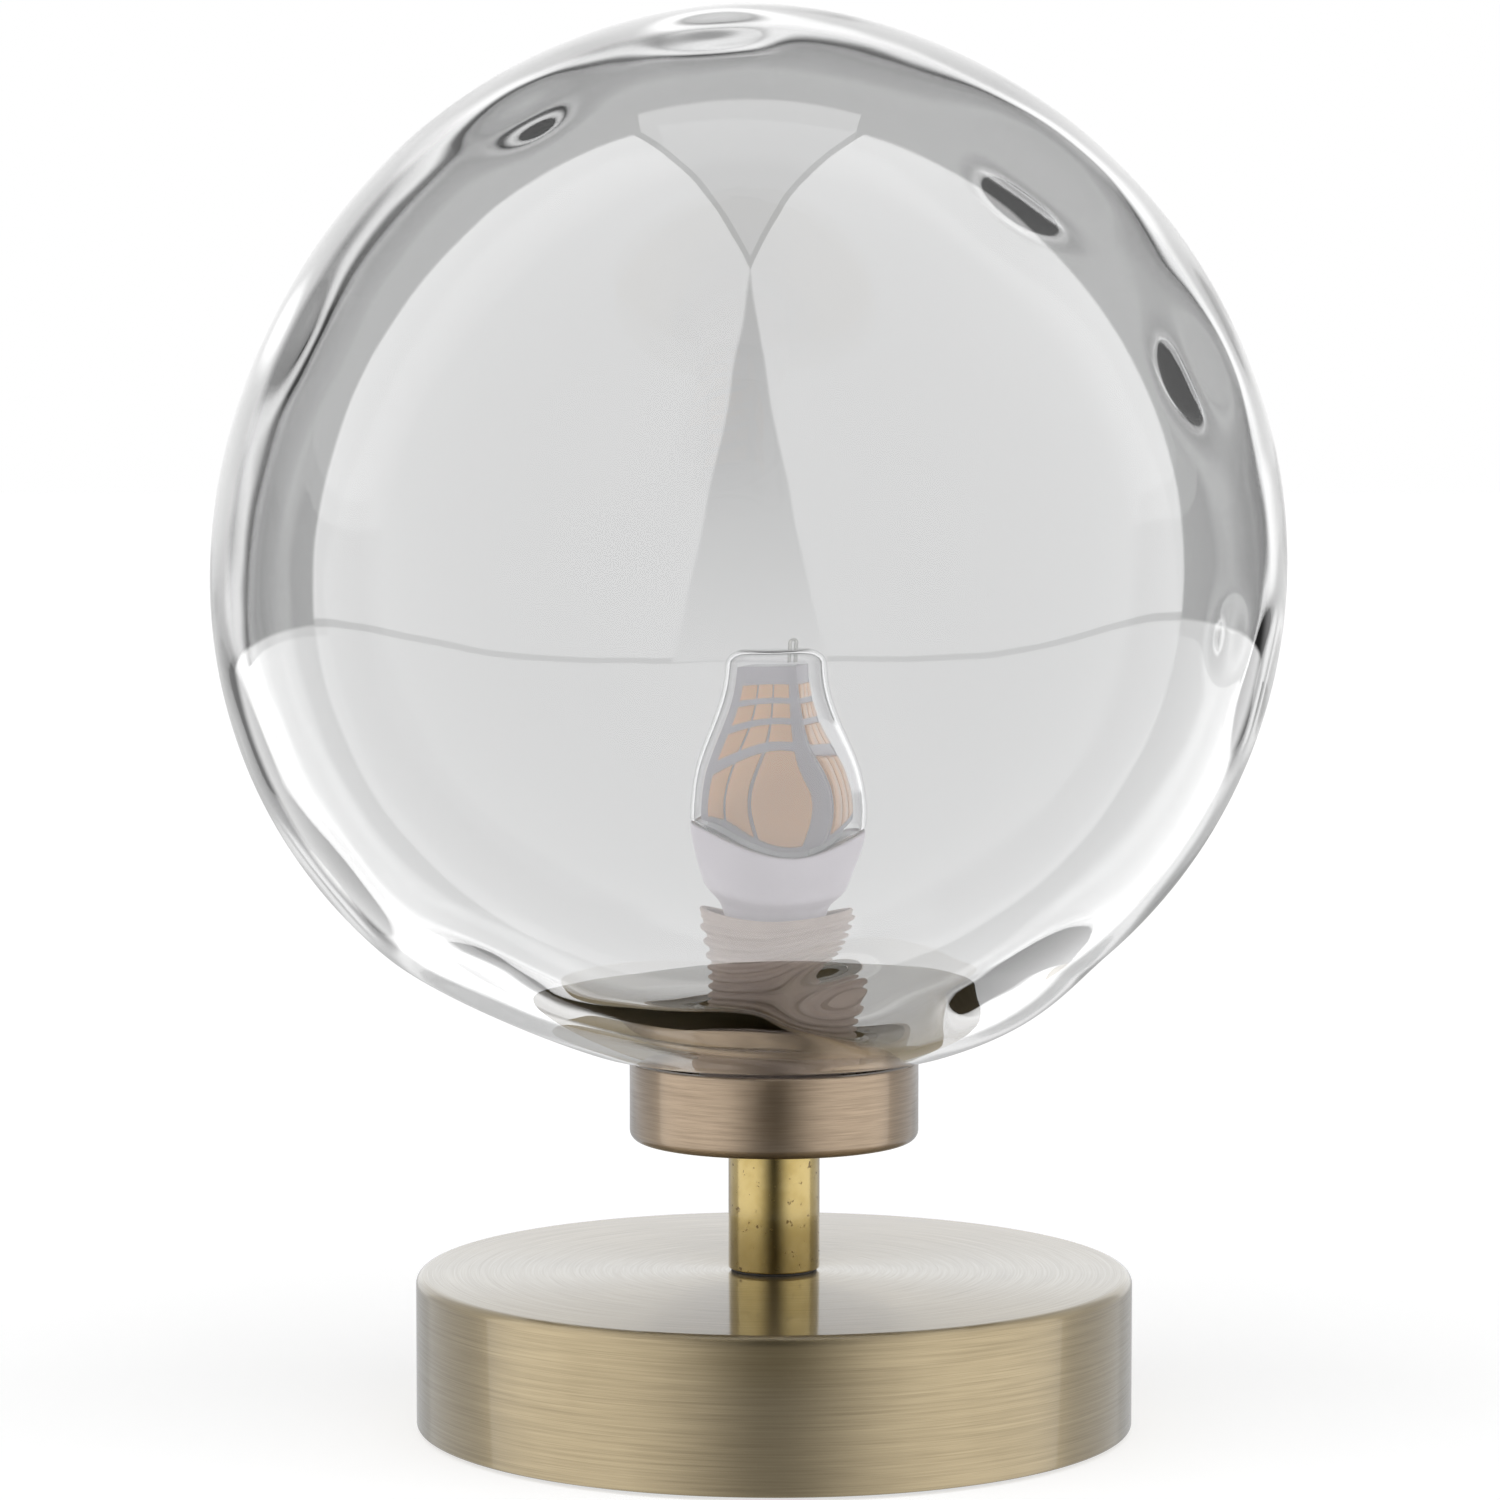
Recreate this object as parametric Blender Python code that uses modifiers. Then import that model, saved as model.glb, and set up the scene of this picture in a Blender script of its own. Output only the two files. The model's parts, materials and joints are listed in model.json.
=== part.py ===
"""Small table lamp: a clear glass globe that screws onto a lamp holder above a brass cup, stem and base.

Units are metres and +Z is up. The origin is the centre of the felt pad's underside, which rests on the
table. The cord inlet is at the rear, on +Y. Each object is one separate piece of the lamp.
"""
import math

import bmesh
import bpy
from mathutils import Matrix, Vector

MM = 0.001
GAP = 0.3 * MM
MERGE = 0.01 * MM
ROUND = 48
SMALL_ROUND = 20
TINY_ROUND = 12

# Glass globe, with a short screw neck. It is fuller below its middle and sits off its neck's centre
GLOBE_RADIUS = 75.0 * MM
GLOBE_CENTRE_Z = 125.0 * MM
GLOBE_FULLNESS = 0.019
GLOBE_OFFSET = 3.5 * MM
OFFSET_START_Z = 54.5 * MM
OFFSET_END_Z = 68.0 * MM
GLASS = 3.2 * MM
NECK_OUTER = 14.5 * MM
NECK_BORE = 11.4 * MM
NECK_BOTTOM_Z = 46.0 * MM
GLOBE_ARC_STEPS = 17

# Base drum, its cover, felt and ballast
BASE_RADIUS = 50.6 * MM
BASE_TOP_Z = 22.0 * MM
BASE_BOTTOM_Z = 0.5 * MM
BASE_WALL = 1.5 * MM
BASE_EDGE = 1.4 * MM
FELT_RADIUS = 46.0 * MM
FELT_THICKNESS = 1.2 * MM
COVER_THICKNESS = 1.5 * MM
BALLAST_RADIUS = 48.0 * MM
BALLAST_RIM_INNER = 33.0 * MM
BALLAST_WEB = 5.2 * MM

# Hollow rod with an M10 thread, and the nuts and washers on it
ROD_RADIUS = 5.0 * MM
ROD_BORE = 3.5 * MM
ROD_HOLE = ROD_RADIUS + GAP
ROD_TOP_Z = 52.4 * MM
NUT_CORNER = 8.05 * MM
WASHER_RADIUS = 12.0 * MM
LOCK_WASHER_RADIUS = 8.0 * MM
LOCK_WASHER_THICKNESS = 0.8 * MM

# Stem and cup
STEM_RADIUS = 6.45 * MM
FOOT_RING_RADIUS = 6.05 * MM
FOOT_RING_THICKNESS = 0.6 * MM
CUP_RADIUS = 20.4 * MM
CUP_BOTTOM_Z = 40.7 * MM
CUP_TOP_Z = 52.0 * MM
CUP_WALL = 1.2 * MM
CUP_EDGE = 1.5 * MM

# Lamp holder
SLEEVE_TOP_Z = 76.0 * MM
SLEEVE_THREAD_OUTER = 10.6 * MM
SLEEVE_THREAD_ROOT = 10.0 * MM
SLEEVE_BORE = 9.2 * MM
SLEEVE_LOWER_BORE = 8.6 * MM
SLEEVE_FLANGE_RADIUS = 14.4 * MM
SLEEVE_FLANGE = 1.4 * MM
SLEEVE_FLOOR = 1.7 * MM
SLEEVE_FLOOR_Z = 46.9 * MM
THREAD_PITCH = 2.5 * MM
THREAD_START_Z = 46.5 * MM
THREAD_TURNS = 11
INSERT_RADIUS = 8.9 * MM
INSERT_BOTTOM_Z = 56.0 * MM
INSERT_TOP_Z = 71.2 * MM
PIN_SPACING = 9.0 * MM
PIN_SLOT_LENGTH = 4.2 * MM
PIN_SLOT_WIDTH = 3.4 * MM
PIN_SLOT_DEPTH = 11.2 * MM

# G9 bulb
BULB_BOTTOM_Z = INSERT_TOP_Z + GAP
BULB_NECK_RADIUS = 6.6 * MM
BULB_RADIUS = 8.0 * MM
BULB_NECK_TOP_Z = 77.6 * MM
BULB_SHOULDER_Z = 79.4 * MM
BULB_BASE_TOP_Z = 86.0 * MM
BULB_TOP_Z = 110.5 * MM
BULB_COVER_WALL = 0.8 * MM
BULB_COVER_EDGE = 3.0 * MM
PIN_WIRE = 0.45 * MM
PIN_LOOP = 2.4 * MM
PIN_LENGTH = 8.5 * MM
BOARD_THICKNESS = 0.6 * MM
CORE_HALF = 4.0 * MM
BOARD_TURN = math.radians(-14)
BOARD_BOTTOM_Z = 86.5 * MM
BOARD_TOP_Z = 107.2 * MM
CHIP_WIDTH = 2.3 * MM
CHIP_HEIGHT = 3.1 * MM
CHIP_COLUMNS = 3
CHIP_ROWS = 4
CHIP_PITCH_X = 2.6 * MM
CHIP_PITCH_Z = 4.4 * MM
CHIP_FIRST_Z = 88.4 * MM
CHIP_STANDS_OUT = 0.3 * MM
LOOP_X = 3.2 * MM

# Cord inlet, clamp, terminals and leads
CABLE_Z = 9.6 * MM
INLET_RADIUS = 5.0 * MM
INLET_BORE = 3.6 * MM
SCREW_RADIUS = 1.5 * MM
SCREW_HOLE = SCREW_RADIUS + GAP
SCREW_HEAD_RADIUS = 2.8 * MM
LEAD_RADIUS = 0.8 * MM
LEAD_OFFSET = 1.3 * MM
TERMINAL_PITCH = 8.0 * MM
TERMINAL_Y = -20.0 * MM
TERMINAL_HOLE = 1.4 * MM
TERMINAL_HOLE_Z = 11.0 * MM
CLAMP_Y = 24.0 * MM
CLAMP_SCREW_X = 7.0 * MM
SCREW_TIP_Z = 18.5 * MM
COVER_SCREW_CIRCLE = 40.0 * MM
EARTH_PLACE = (22.0 * MM, -6.0 * MM)

# Levels that follow from the sizes above
COVER_BOTTOM_Z = FELT_THICKNESS + GAP
COVER_TOP_Z = COVER_BOTTOM_Z + COVER_THICKNESS
BALLAST_BOTTOM_Z = COVER_TOP_Z + GAP
BALLAST_TOP_Z = BASE_TOP_Z - BASE_WALL - GAP
WEB_BOTTOM_Z = BALLAST_TOP_Z - BALLAST_WEB
BASE_WASHER_Z = WEB_BOTTOM_Z - GAP
BASE_LOCK_WASHER_Z = BASE_WASHER_Z - 1.5 * MM
BASE_NUT_Z = BASE_LOCK_WASHER_Z - LOCK_WASHER_THICKNESS - GAP
ROD_BOTTOM_Z = BASE_NUT_Z - 5.1 * MM
CUP_FLOOR_Z = CUP_BOTTOM_Z + CUP_WALL
COVER_RADIUS = BASE_RADIUS - BASE_WALL - GAP


# ---------------------------------------------------------------- scene, finishes and shapes

def clear_scene():
    for item in list(bpy.data.objects):
        bpy.data.objects.remove(item, do_unlink=True)


def new_collection(name):
    collection = bpy.data.collections.new(name)
    bpy.context.scene.collection.children.link(collection)
    return collection


def finish(name, colour, metallic, roughness, clear=0.0):
    """A Principled material. clear is how much light passes through it."""
    material = bpy.data.materials.new(name)
    material.use_nodes = True
    shader = material.node_tree.nodes["Principled BSDF"]
    shader.inputs["Base Color"].default_value = (*colour, 1.0)
    shader.inputs["Metallic"].default_value = metallic
    shader.inputs["Roughness"].default_value = roughness
    shader.inputs["Transmission Weight"].default_value = clear
    material.diffuse_color = (*colour, 1.0)
    return material


def add_piece(name, mesh, material):
    mesh.materials.append(material)
    piece = bpy.data.objects.new(name, mesh)
    PIECES.objects.link(piece)
    return piece


def add_cutter(name, mesh):
    cutter = bpy.data.objects.new(name, mesh)
    cutter.hide_render = True
    cutter.display_type = "WIRE"
    CUTTERS.objects.link(cutter)
    return cutter


def arc(centre_r, centre_z, radius, start, end, steps):
    """Points of an arc in the plane of radius and height, between two angles in degrees."""
    angles = [math.radians(start + (end - start) * step / steps) for step in range(steps + 1)]
    return [(centre_r + radius * math.cos(a), centre_z + radius * math.sin(a)) for a in angles]


def turned(name, material, profile, segments=SMALL_ROUND, centre=(0, 0, 0), rotation=(0, 0, 0)):
    """A piece of revolution. Its profile runs down the outer side and, unless it ends on the axis, closes."""
    ends_on_axis = profile[0][0] == 0 and profile[-1][0] == 0
    count = len(profile)
    edges = [(i, (i + 1) % count) for i in range(count - 1 if ends_on_axis else count)]
    mesh = bpy.data.meshes.new(name)
    mesh.from_pydata([(radius, 0, z) for radius, z in profile], edges, [])
    piece = add_piece(name, mesh, material)
    piece.location = centre
    piece.rotation_euler = rotation
    screw = piece.modifiers.new("turned", "SCREW")
    screw.steps = segments
    screw.render_steps = segments
    screw.use_merge_vertices = True
    screw.merge_threshold = MERGE
    screw.use_smooth_shade = False
    return piece


def ring(name, material, inner, outer, bottom, top, segments=SMALL_ROUND, centre=(0, 0, 0)):
    profile = [(inner, top), (outer, top), (outer, bottom), (inner, bottom)]
    return turned(name, material, profile, segments, centre)


def cylinder_mesh(name, radius, depth, segments, top_radius=None):
    mesh = bpy.data.meshes.new(name)
    shape = bmesh.new()
    end_radius = radius if top_radius is None else top_radius
    bmesh.ops.create_cone(shape, cap_ends=True, segments=segments, radius1=radius, radius2=end_radius,
                          depth=depth)
    shape.to_mesh(mesh)
    shape.free()
    return mesh


def boxes_mesh(name, size, centres):
    """One mesh with a box of the given size at each centre."""
    mesh = bpy.data.meshes.new(name)
    shape = bmesh.new()
    for centre in centres:
        place = Matrix.Translation(centre) @ Matrix.Diagonal((*size, 1.0))
        bmesh.ops.create_cube(shape, size=1.0, matrix=place)
    shape.to_mesh(mesh)
    shape.free()
    return mesh


def box(name, material, size, centre, bevel=0.0):
    piece = add_piece(name, boxes_mesh(name, size, [(0, 0, 0)]), material)
    piece.location = centre
    if bevel:
        edge = piece.modifiers.new("edges", "BEVEL")
        edge.width = bevel
        edge.segments = 1
    return piece


def combine(piece, other, operation):
    step = piece.modifiers.new(other.name, "BOOLEAN")
    step.operation = operation
    step.solver = "EXACT"
    step.object = other


def drill(piece, name, radius, centre, depth, rotation=(0, 0, 0), segments=TINY_ROUND, top_radius=None):
    """Cut a round hole, or a cone where top_radius differs, about the centre along the rotated Z axis."""
    cutter = add_cutter(name, cylinder_mesh(name, radius, depth, segments, top_radius))
    cutter.location = centre
    cutter.rotation_euler = rotation
    combine(piece, cutter, "DIFFERENCE")


def notch(piece, name, size, centre):
    cutter = add_cutter(name, boxes_mesh(name, size, [(0, 0, 0)]))
    cutter.location = centre
    combine(piece, cutter, "DIFFERENCE")


def nut(name, material, bottom, top):
    piece = add_piece(name, cylinder_mesh(name, NUT_CORNER, top - bottom, 6), material)
    piece.location = (0, 0, (bottom + top) / 2)
    drill(piece, name + "_thread", ROD_HOLE, piece.location, 2 * (top - bottom), segments=SMALL_ROUND)
    return piece


def screw(name, material, x, y, head_bottom, head_top, tip_z, head_radius=SCREW_HEAD_RADIUS):
    """A pan-headed screw driven upwards from below."""
    profile = [(0, tip_z), (SCREW_RADIUS, tip_z - SCREW_RADIUS / 2), (SCREW_RADIUS, head_top),
               (head_radius, head_top), (head_radius, head_bottom), (0, head_bottom)]
    return turned(name, material, profile, TINY_ROUND, (x, y, 0))


def smooth_route(points, per_span):
    """Points along a Catmull-Rom curve through the given points."""
    route = [Vector(point) for point in points]
    padded = [2 * route[0] - route[1], *route, 2 * route[-1] - route[-2]]
    result = []
    for i in range(1, len(padded) - 2):
        before, start, end, after = padded[i - 1:i + 3]
        for step in range(per_span):
            t = step / per_span
            result.append(0.5 * (2 * start + (end - before) * t
                                 + (2 * before - 5 * start + 4 * end - after) * t ** 2
                                 + (3 * start - before - 3 * end + after) * t ** 3))
    return result + [route[-1]]


def wire(name, material, points, radius, per_span=2):
    curve = bpy.data.curves.new(name, "CURVE")
    curve.dimensions = "3D"
    curve.bevel_depth = radius
    curve.bevel_resolution = 2
    curve.use_fill_caps = True
    route = smooth_route(points, per_span)
    spline = curve.splines.new("POLY")
    spline.points.add(len(route) - 1)
    for point, place in zip(spline.points, route):
        point.co = (*place, 1.0)
    curve.materials.append(material)
    piece = bpy.data.objects.new(name, curve)
    PIECES.objects.link(piece)
    return piece


def parent_all(pieces, name, place):
    """Hang a moving group on an empty that sits on its joint's axis."""
    empty = bpy.data.objects.new(name, None)
    empty.location = place
    PIECES.objects.link(empty)
    for piece in pieces:
        piece.parent = empty
        piece.matrix_parent_inverse = Matrix.Translation(-Vector(place))


# ---------------------------------------------------------------- base

def make_base_shell(brass):
    corner = arc(BASE_RADIUS - BASE_EDGE, BASE_TOP_Z - BASE_EDGE, BASE_EDGE, 90, 0, 3)
    inner = BASE_RADIUS - BASE_WALL
    profile = [(ROD_HOLE, BASE_TOP_Z), *corner, (BASE_RADIUS, BASE_BOTTOM_Z), (inner, BASE_BOTTOM_Z),
               (inner, BASE_TOP_Z - BASE_WALL), (ROD_HOLE, BASE_TOP_Z - BASE_WALL)]
    shell = turned("base_shell", brass, profile, ROUND)
    drill(shell, "cord_hole", INLET_RADIUS, (0, BASE_RADIUS, CABLE_Z), 4 * BASE_WALL,
          (math.radians(90), 0, 0), SMALL_ROUND)


def cover_screw_places():
    angles = [math.radians(30 + 120 * i) for i in range(3)]
    return [(COVER_SCREW_CIRCLE * math.cos(a), -COVER_SCREW_CIRCLE * math.sin(a)) for a in angles]


def make_ballast(cast_iron):
    profile = [(ROD_HOLE, BALLAST_TOP_Z), (BALLAST_RADIUS, BALLAST_TOP_Z), (BALLAST_RADIUS, BALLAST_BOTTOM_Z),
               (BALLAST_RIM_INNER, BALLAST_BOTTOM_Z), (BALLAST_RIM_INNER, WEB_BOTTOM_Z),
               (ROD_HOLE, WEB_BOTTOM_Z)]
    ballast = turned("ballast", cast_iron, profile, ROUND)
    slot_width = 14.0 * MM
    slot_top = 16.5 * MM
    slot_bottom = BALLAST_BOTTOM_Z - 1 * MM
    notch(ballast, "cord_slot", (slot_width, 20 * MM, slot_top - slot_bottom),
          (0, BALLAST_RADIUS - 6 * MM, (slot_top + slot_bottom) / 2))
    for i, (x, y) in enumerate(cover_screw_places()):
        drill(ballast, f"cover_screw_hole_{i + 1}", SCREW_HOLE, (x, y, BALLAST_BOTTOM_Z), 14 * MM)
    web_holes = {"clamp_hole_left": (-CLAMP_SCREW_X, CLAMP_Y), "clamp_hole_right": (CLAMP_SCREW_X, CLAMP_Y),
                 "block_hole": (TERMINAL_PITCH / 2, TERMINAL_Y), "earth_hole": EARTH_PLACE}
    for name, (x, y) in web_holes.items():
        drill(ballast, name, SCREW_HOLE, (x, y, WEB_BOTTOM_Z), 9 * MM)


def make_base_cover(steel, screw_steel):
    profile = [(0, COVER_TOP_Z), (COVER_RADIUS, COVER_TOP_Z), (COVER_RADIUS, COVER_BOTTOM_Z),
               (0, COVER_BOTTOM_Z)]
    cover = turned("base_cover", steel, profile, ROUND)
    countersink = SCREW_HEAD_RADIUS + GAP
    head_profile = [(SCREW_RADIUS, COVER_TOP_Z), (SCREW_HEAD_RADIUS, COVER_BOTTOM_Z), (0, COVER_BOTTOM_Z)]
    tip_z = 9.0 * MM
    for i, (x, y) in enumerate(cover_screw_places()):
        drill(cover, f"countersink_{i + 1}", countersink, (x, y, (COVER_BOTTOM_Z + COVER_TOP_Z) / 2),
              COVER_THICKNESS + 2 * MERGE, segments=TINY_ROUND, top_radius=SCREW_HOLE)
        turned(f"cover_screw_{i + 1}", screw_steel, [(0, tip_z), (SCREW_RADIUS, tip_z - SCREW_RADIUS / 2),
                                                      *head_profile], TINY_ROUND, (x, y, 0))


def make_felt(felt):
    pad = add_piece("felt_pad", cylinder_mesh("felt_pad", FELT_RADIUS, FELT_THICKNESS, ROUND), felt)
    pad.location.z = FELT_THICKNESS / 2


def make_inlet(rubber):
    """A rubber grommet in the rear wall: an outer and an inner flange with the curved wall between them."""
    outer_flange = 6.0 * MM
    inner_flange = 5.6 * MM
    sleeve = INLET_RADIUS - GAP
    outer_face = BASE_RADIUS + 2.0 * MM
    outer_seat = BASE_RADIUS + GAP
    inner_seat = math.sqrt((BASE_RADIUS - BASE_WALL) ** 2 - inner_flange ** 2) - 2 * GAP
    inner_face = inner_seat - 1.4 * MM
    profile = [(INLET_BORE, outer_face), (outer_flange, outer_face), (outer_flange, outer_seat),
               (sleeve, outer_seat), (sleeve, inner_seat), (inner_flange, inner_seat),
               (inner_flange, inner_face), (INLET_BORE, inner_face)]
    turned("cable_grommet", rubber, profile, SMALL_ROUND, (0, 0, CABLE_Z), (math.radians(-90), 0, 0))


def make_cord_clamp(steel, screw_steel):
    bar_bottom = 6.2 * MM
    bar_top = 7.8 * MM
    bar_width = 7.0 * MM
    bar_length = 2 * CLAMP_SCREW_X + 6 * MM
    bar_middle = (bar_bottom + bar_top) / 2
    clamp = box("cord_clamp", steel, (bar_length, bar_width, bar_top - bar_bottom), (0, CLAMP_Y, bar_middle))
    for i, x in enumerate((-CLAMP_SCREW_X, CLAMP_SCREW_X)):
        drill(clamp, f"clamp_bar_hole_{i + 1}", SCREW_HOLE, (x, CLAMP_Y, bar_middle), bar_width)
        screw(f"clamp_screw_{i + 1}", screw_steel, x, CLAMP_Y, bar_bottom - GAP - 1.8 * MM, bar_bottom - GAP,
              SCREW_TIP_Z)


def make_terminal_block(nylon, screw_steel):
    bottom = 6.0 * MM
    top = WEB_BOTTOM_Z - GAP
    width = 3 * TERMINAL_PITCH + 1 * MM
    depth = 12.0 * MM
    screw_top = TERMINAL_HOLE_Z - LEAD_RADIUS - 2 * GAP
    block = box("terminal_block", nylon, (width, depth, top - bottom), (0, TERMINAL_Y, (bottom + top) / 2),
                0.6 * MM)
    well_depth = TERMINAL_HOLE_Z - bottom
    screw_profile = [(0, screw_top), (SCREW_RADIUS, screw_top), (SCREW_RADIUS, bottom + GAP),
                     (0, bottom + GAP)]
    for i, x in enumerate((-TERMINAL_PITCH, 0, TERMINAL_PITCH)):
        drill(block, f"terminal_way_{i + 1}", TERMINAL_HOLE, (x, TERMINAL_Y, TERMINAL_HOLE_Z), 2 * depth,
              (math.radians(90), 0, 0))
        drill(block, f"terminal_well_{i + 1}", SCREW_HOLE, (x, TERMINAL_Y, bottom), 2 * well_depth)
        turned(f"terminal_screw_{i + 1}", screw_steel, screw_profile, TINY_ROUND, (x, TERMINAL_Y, 0))
    x = TERMINAL_PITCH / 2
    drill(block, "block_fixing", SCREW_HOLE, (x, TERMINAL_Y, bottom), 4 * (top - bottom))
    screw("block_screw", screw_steel, x, TERMINAL_Y, bottom - GAP - 1.2 * MM, bottom - GAP, SCREW_TIP_Z,
          2.4 * MM)


def make_earth_tag(tinned, screw_steel):
    """A ring tag under the ballast's web, with a tail that the earth lead is crimped to."""
    top = WEB_BOTTOM_Z - GAP
    bottom = top - 0.8 * MM
    x, y = EARTH_PLACE
    tag = ring("earth_tag", tinned, SCREW_HOLE, 3.8 * MM, bottom, top, TINY_ROUND, (x, y, 0))
    tail = add_cutter("earth_tail", boxes_mesh("earth_tail", (2.4 * MM, 5.0 * MM, top - bottom), [(0, 0, 0)]))
    tail.location = (x, y - 5.2 * MM, (bottom + top) / 2)
    combine(tag, tail, "UNION")
    screw("earth_screw", screw_steel, x, y, bottom - GAP - 1.6 * MM, bottom - GAP, SCREW_TIP_Z)


def make_leads(brown, blue, green):
    """The leads from the terminal block: live and neutral up through the rod, and earth to its tag."""
    way_end = TERMINAL_Y - 3.5 * MM
    contact_x = PIN_SPACING / 2
    contact_y = -1.0 * MM
    lead_top = INSERT_TOP_Z - PIN_SLOT_DEPTH - GAP

    def rise(side):
        return [(side * LEAD_OFFSET, -0.6 * MM, 6.2 * MM), (side * LEAD_OFFSET, 0, 10 * MM),
                (side * LEAD_OFFSET, 0, 30 * MM), (side * LEAD_OFFSET, 0, 50.5 * MM),
                (side * 2.2 * MM, -0.3 * MM, 52.8 * MM), (side * 4.0 * MM, -0.8 * MM, 54.2 * MM),
                (side * contact_x, contact_y, 55.7 * MM), (side * contact_x, contact_y, 57.5 * MM),
                (side * contact_x, contact_y, lead_top)]

    wire("lead_live", brown,
         [(-TERMINAL_PITCH, way_end, TERMINAL_HOLE_Z), (-8.3 * MM, -28.3 * MM, 10.8 * MM),
          (-14.5 * MM, -26.5 * MM, 8.5 * MM), (-17.0 * MM, -18.0 * MM, 6.2 * MM),
          (-10.0 * MM, -8.0 * MM, 4.9 * MM), (-3.5 * MM, -3.0 * MM, 4.8 * MM), *rise(-1)], LEAD_RADIUS)
    wire("lead_neutral", blue,
         [(0, way_end, TERMINAL_HOLE_Z), (0.3 * MM, -28.6 * MM, 10.4 * MM), (5.0 * MM, -30.0 * MM, 7.6 * MM),
          (13.0 * MM, -27.0 * MM, 5.7 * MM), (17.5 * MM, -18.0 * MM, 5.2 * MM),
          (10.0 * MM, -8.0 * MM, 4.9 * MM), (3.5 * MM, -3.0 * MM, 4.8 * MM), *rise(1)], LEAD_RADIUS)
    tag_x, tag_y = EARTH_PLACE
    wire("earth_lead", green,
         [(tag_x, tag_y - 8.1 * MM, 13.8 * MM), (tag_x - 0.5 * MM, tag_y - 13.0 * MM, 13.0 * MM),
          (16.0 * MM, -26.5 * MM, 12.0 * MM), (10.5 * MM, -29.5 * MM, 11.3 * MM),
          (TERMINAL_PITCH, -27.5 * MM, TERMINAL_HOLE_Z), (TERMINAL_PITCH, way_end, TERMINAL_HOLE_Z)],
         LEAD_RADIUS)


# ---------------------------------------------------------------- rod, stem and cup

def make_rod(zinc, screw_steel):
    ring("threaded_rod", zinc, ROD_BORE, ROD_RADIUS, ROD_BOTTOM_Z, ROD_TOP_Z)
    ring("base_washer", screw_steel, ROD_HOLE, WASHER_RADIUS, BASE_WASHER_Z - 1.2 * MM, BASE_WASHER_Z)
    ring("base_lock_washer", screw_steel, ROD_HOLE, LOCK_WASHER_RADIUS,
         BASE_LOCK_WASHER_Z - LOCK_WASHER_THICKNESS, BASE_LOCK_WASHER_Z)
    nut("base_nut", screw_steel, BASE_NUT_Z - 4.5 * MM, BASE_NUT_Z)
    lock_bottom = CUP_FLOOR_Z + GAP
    ring("cup_lock_washer", screw_steel, ROD_HOLE, LOCK_WASHER_RADIUS, lock_bottom,
         lock_bottom + LOCK_WASHER_THICKNESS)
    nut_bottom = lock_bottom + LOCK_WASHER_THICKNESS + GAP
    nut("cup_nut", screw_steel, nut_bottom, nut_bottom + 3.0 * MM)
    holder_nut_bottom = SLEEVE_FLOOR_Z + SLEEVE_FLOOR + GAP
    nut("holder_nut", screw_steel, holder_nut_bottom, holder_nut_bottom + 3.0 * MM)


def make_stem(brass, dark):
    ring_bottom = BASE_TOP_Z + GAP
    ring_top = ring_bottom + FOOT_RING_THICKNESS
    ring("stem_foot_ring", dark, ROD_HOLE, FOOT_RING_RADIUS, ring_bottom, ring_top)
    ring("stem_tube", brass, ROD_HOLE, STEM_RADIUS, ring_top + GAP, CUP_BOTTOM_Z - GAP, 32)


def make_cup(brass):
    inner = CUP_RADIUS - CUP_WALL
    corner = arc(CUP_RADIUS - CUP_EDGE, CUP_BOTTOM_Z + CUP_EDGE, CUP_EDGE, 0, -90, 3)
    profile = [(inner, CUP_TOP_Z), (CUP_RADIUS, CUP_TOP_Z), *corner, (ROD_HOLE, CUP_BOTTOM_Z),
               (ROD_HOLE, CUP_FLOOR_Z), (inner - 0.8 * MM, CUP_FLOOR_Z), (inner, CUP_FLOOR_Z + 0.8 * MM)]
    turned("gallery_cup", brass, profile, 36)


# ---------------------------------------------------------------- lamp holder

def make_sleeve(phenolic):
    """The holder's outer sleeve. Rings stand for its thread, which the globe's neck screws onto."""
    flange_bottom = CUP_FLOOR_Z + GAP
    thread = []
    for turn in reversed(range(THREAD_TURNS)):
        root = THREAD_START_Z + THREAD_PITCH * turn
        thread.append((SLEEVE_THREAD_OUTER, root + THREAD_PITCH / 2))
        thread.append((SLEEVE_THREAD_ROOT, root))
    ledge_z = INSERT_BOTTOM_Z - GAP
    floor_top = SLEEVE_FLOOR_Z + SLEEVE_FLOOR
    profile = [(SLEEVE_BORE, SLEEVE_TOP_Z), (SLEEVE_THREAD_ROOT, SLEEVE_TOP_Z), *thread,
               (SLEEVE_THREAD_ROOT, flange_bottom + SLEEVE_FLANGE),
               (SLEEVE_FLANGE_RADIUS, flange_bottom + SLEEVE_FLANGE), (SLEEVE_FLANGE_RADIUS, flange_bottom),
               (SLEEVE_LOWER_BORE, flange_bottom), (SLEEVE_LOWER_BORE, SLEEVE_FLOOR_Z),
               (ROD_HOLE, SLEEVE_FLOOR_Z), (ROD_HOLE, floor_top), (SLEEVE_LOWER_BORE, floor_top),
               (SLEEVE_LOWER_BORE, ledge_z), (SLEEVE_BORE, ledge_z)]
    turned("holder_sleeve", phenolic, profile, 20)


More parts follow.
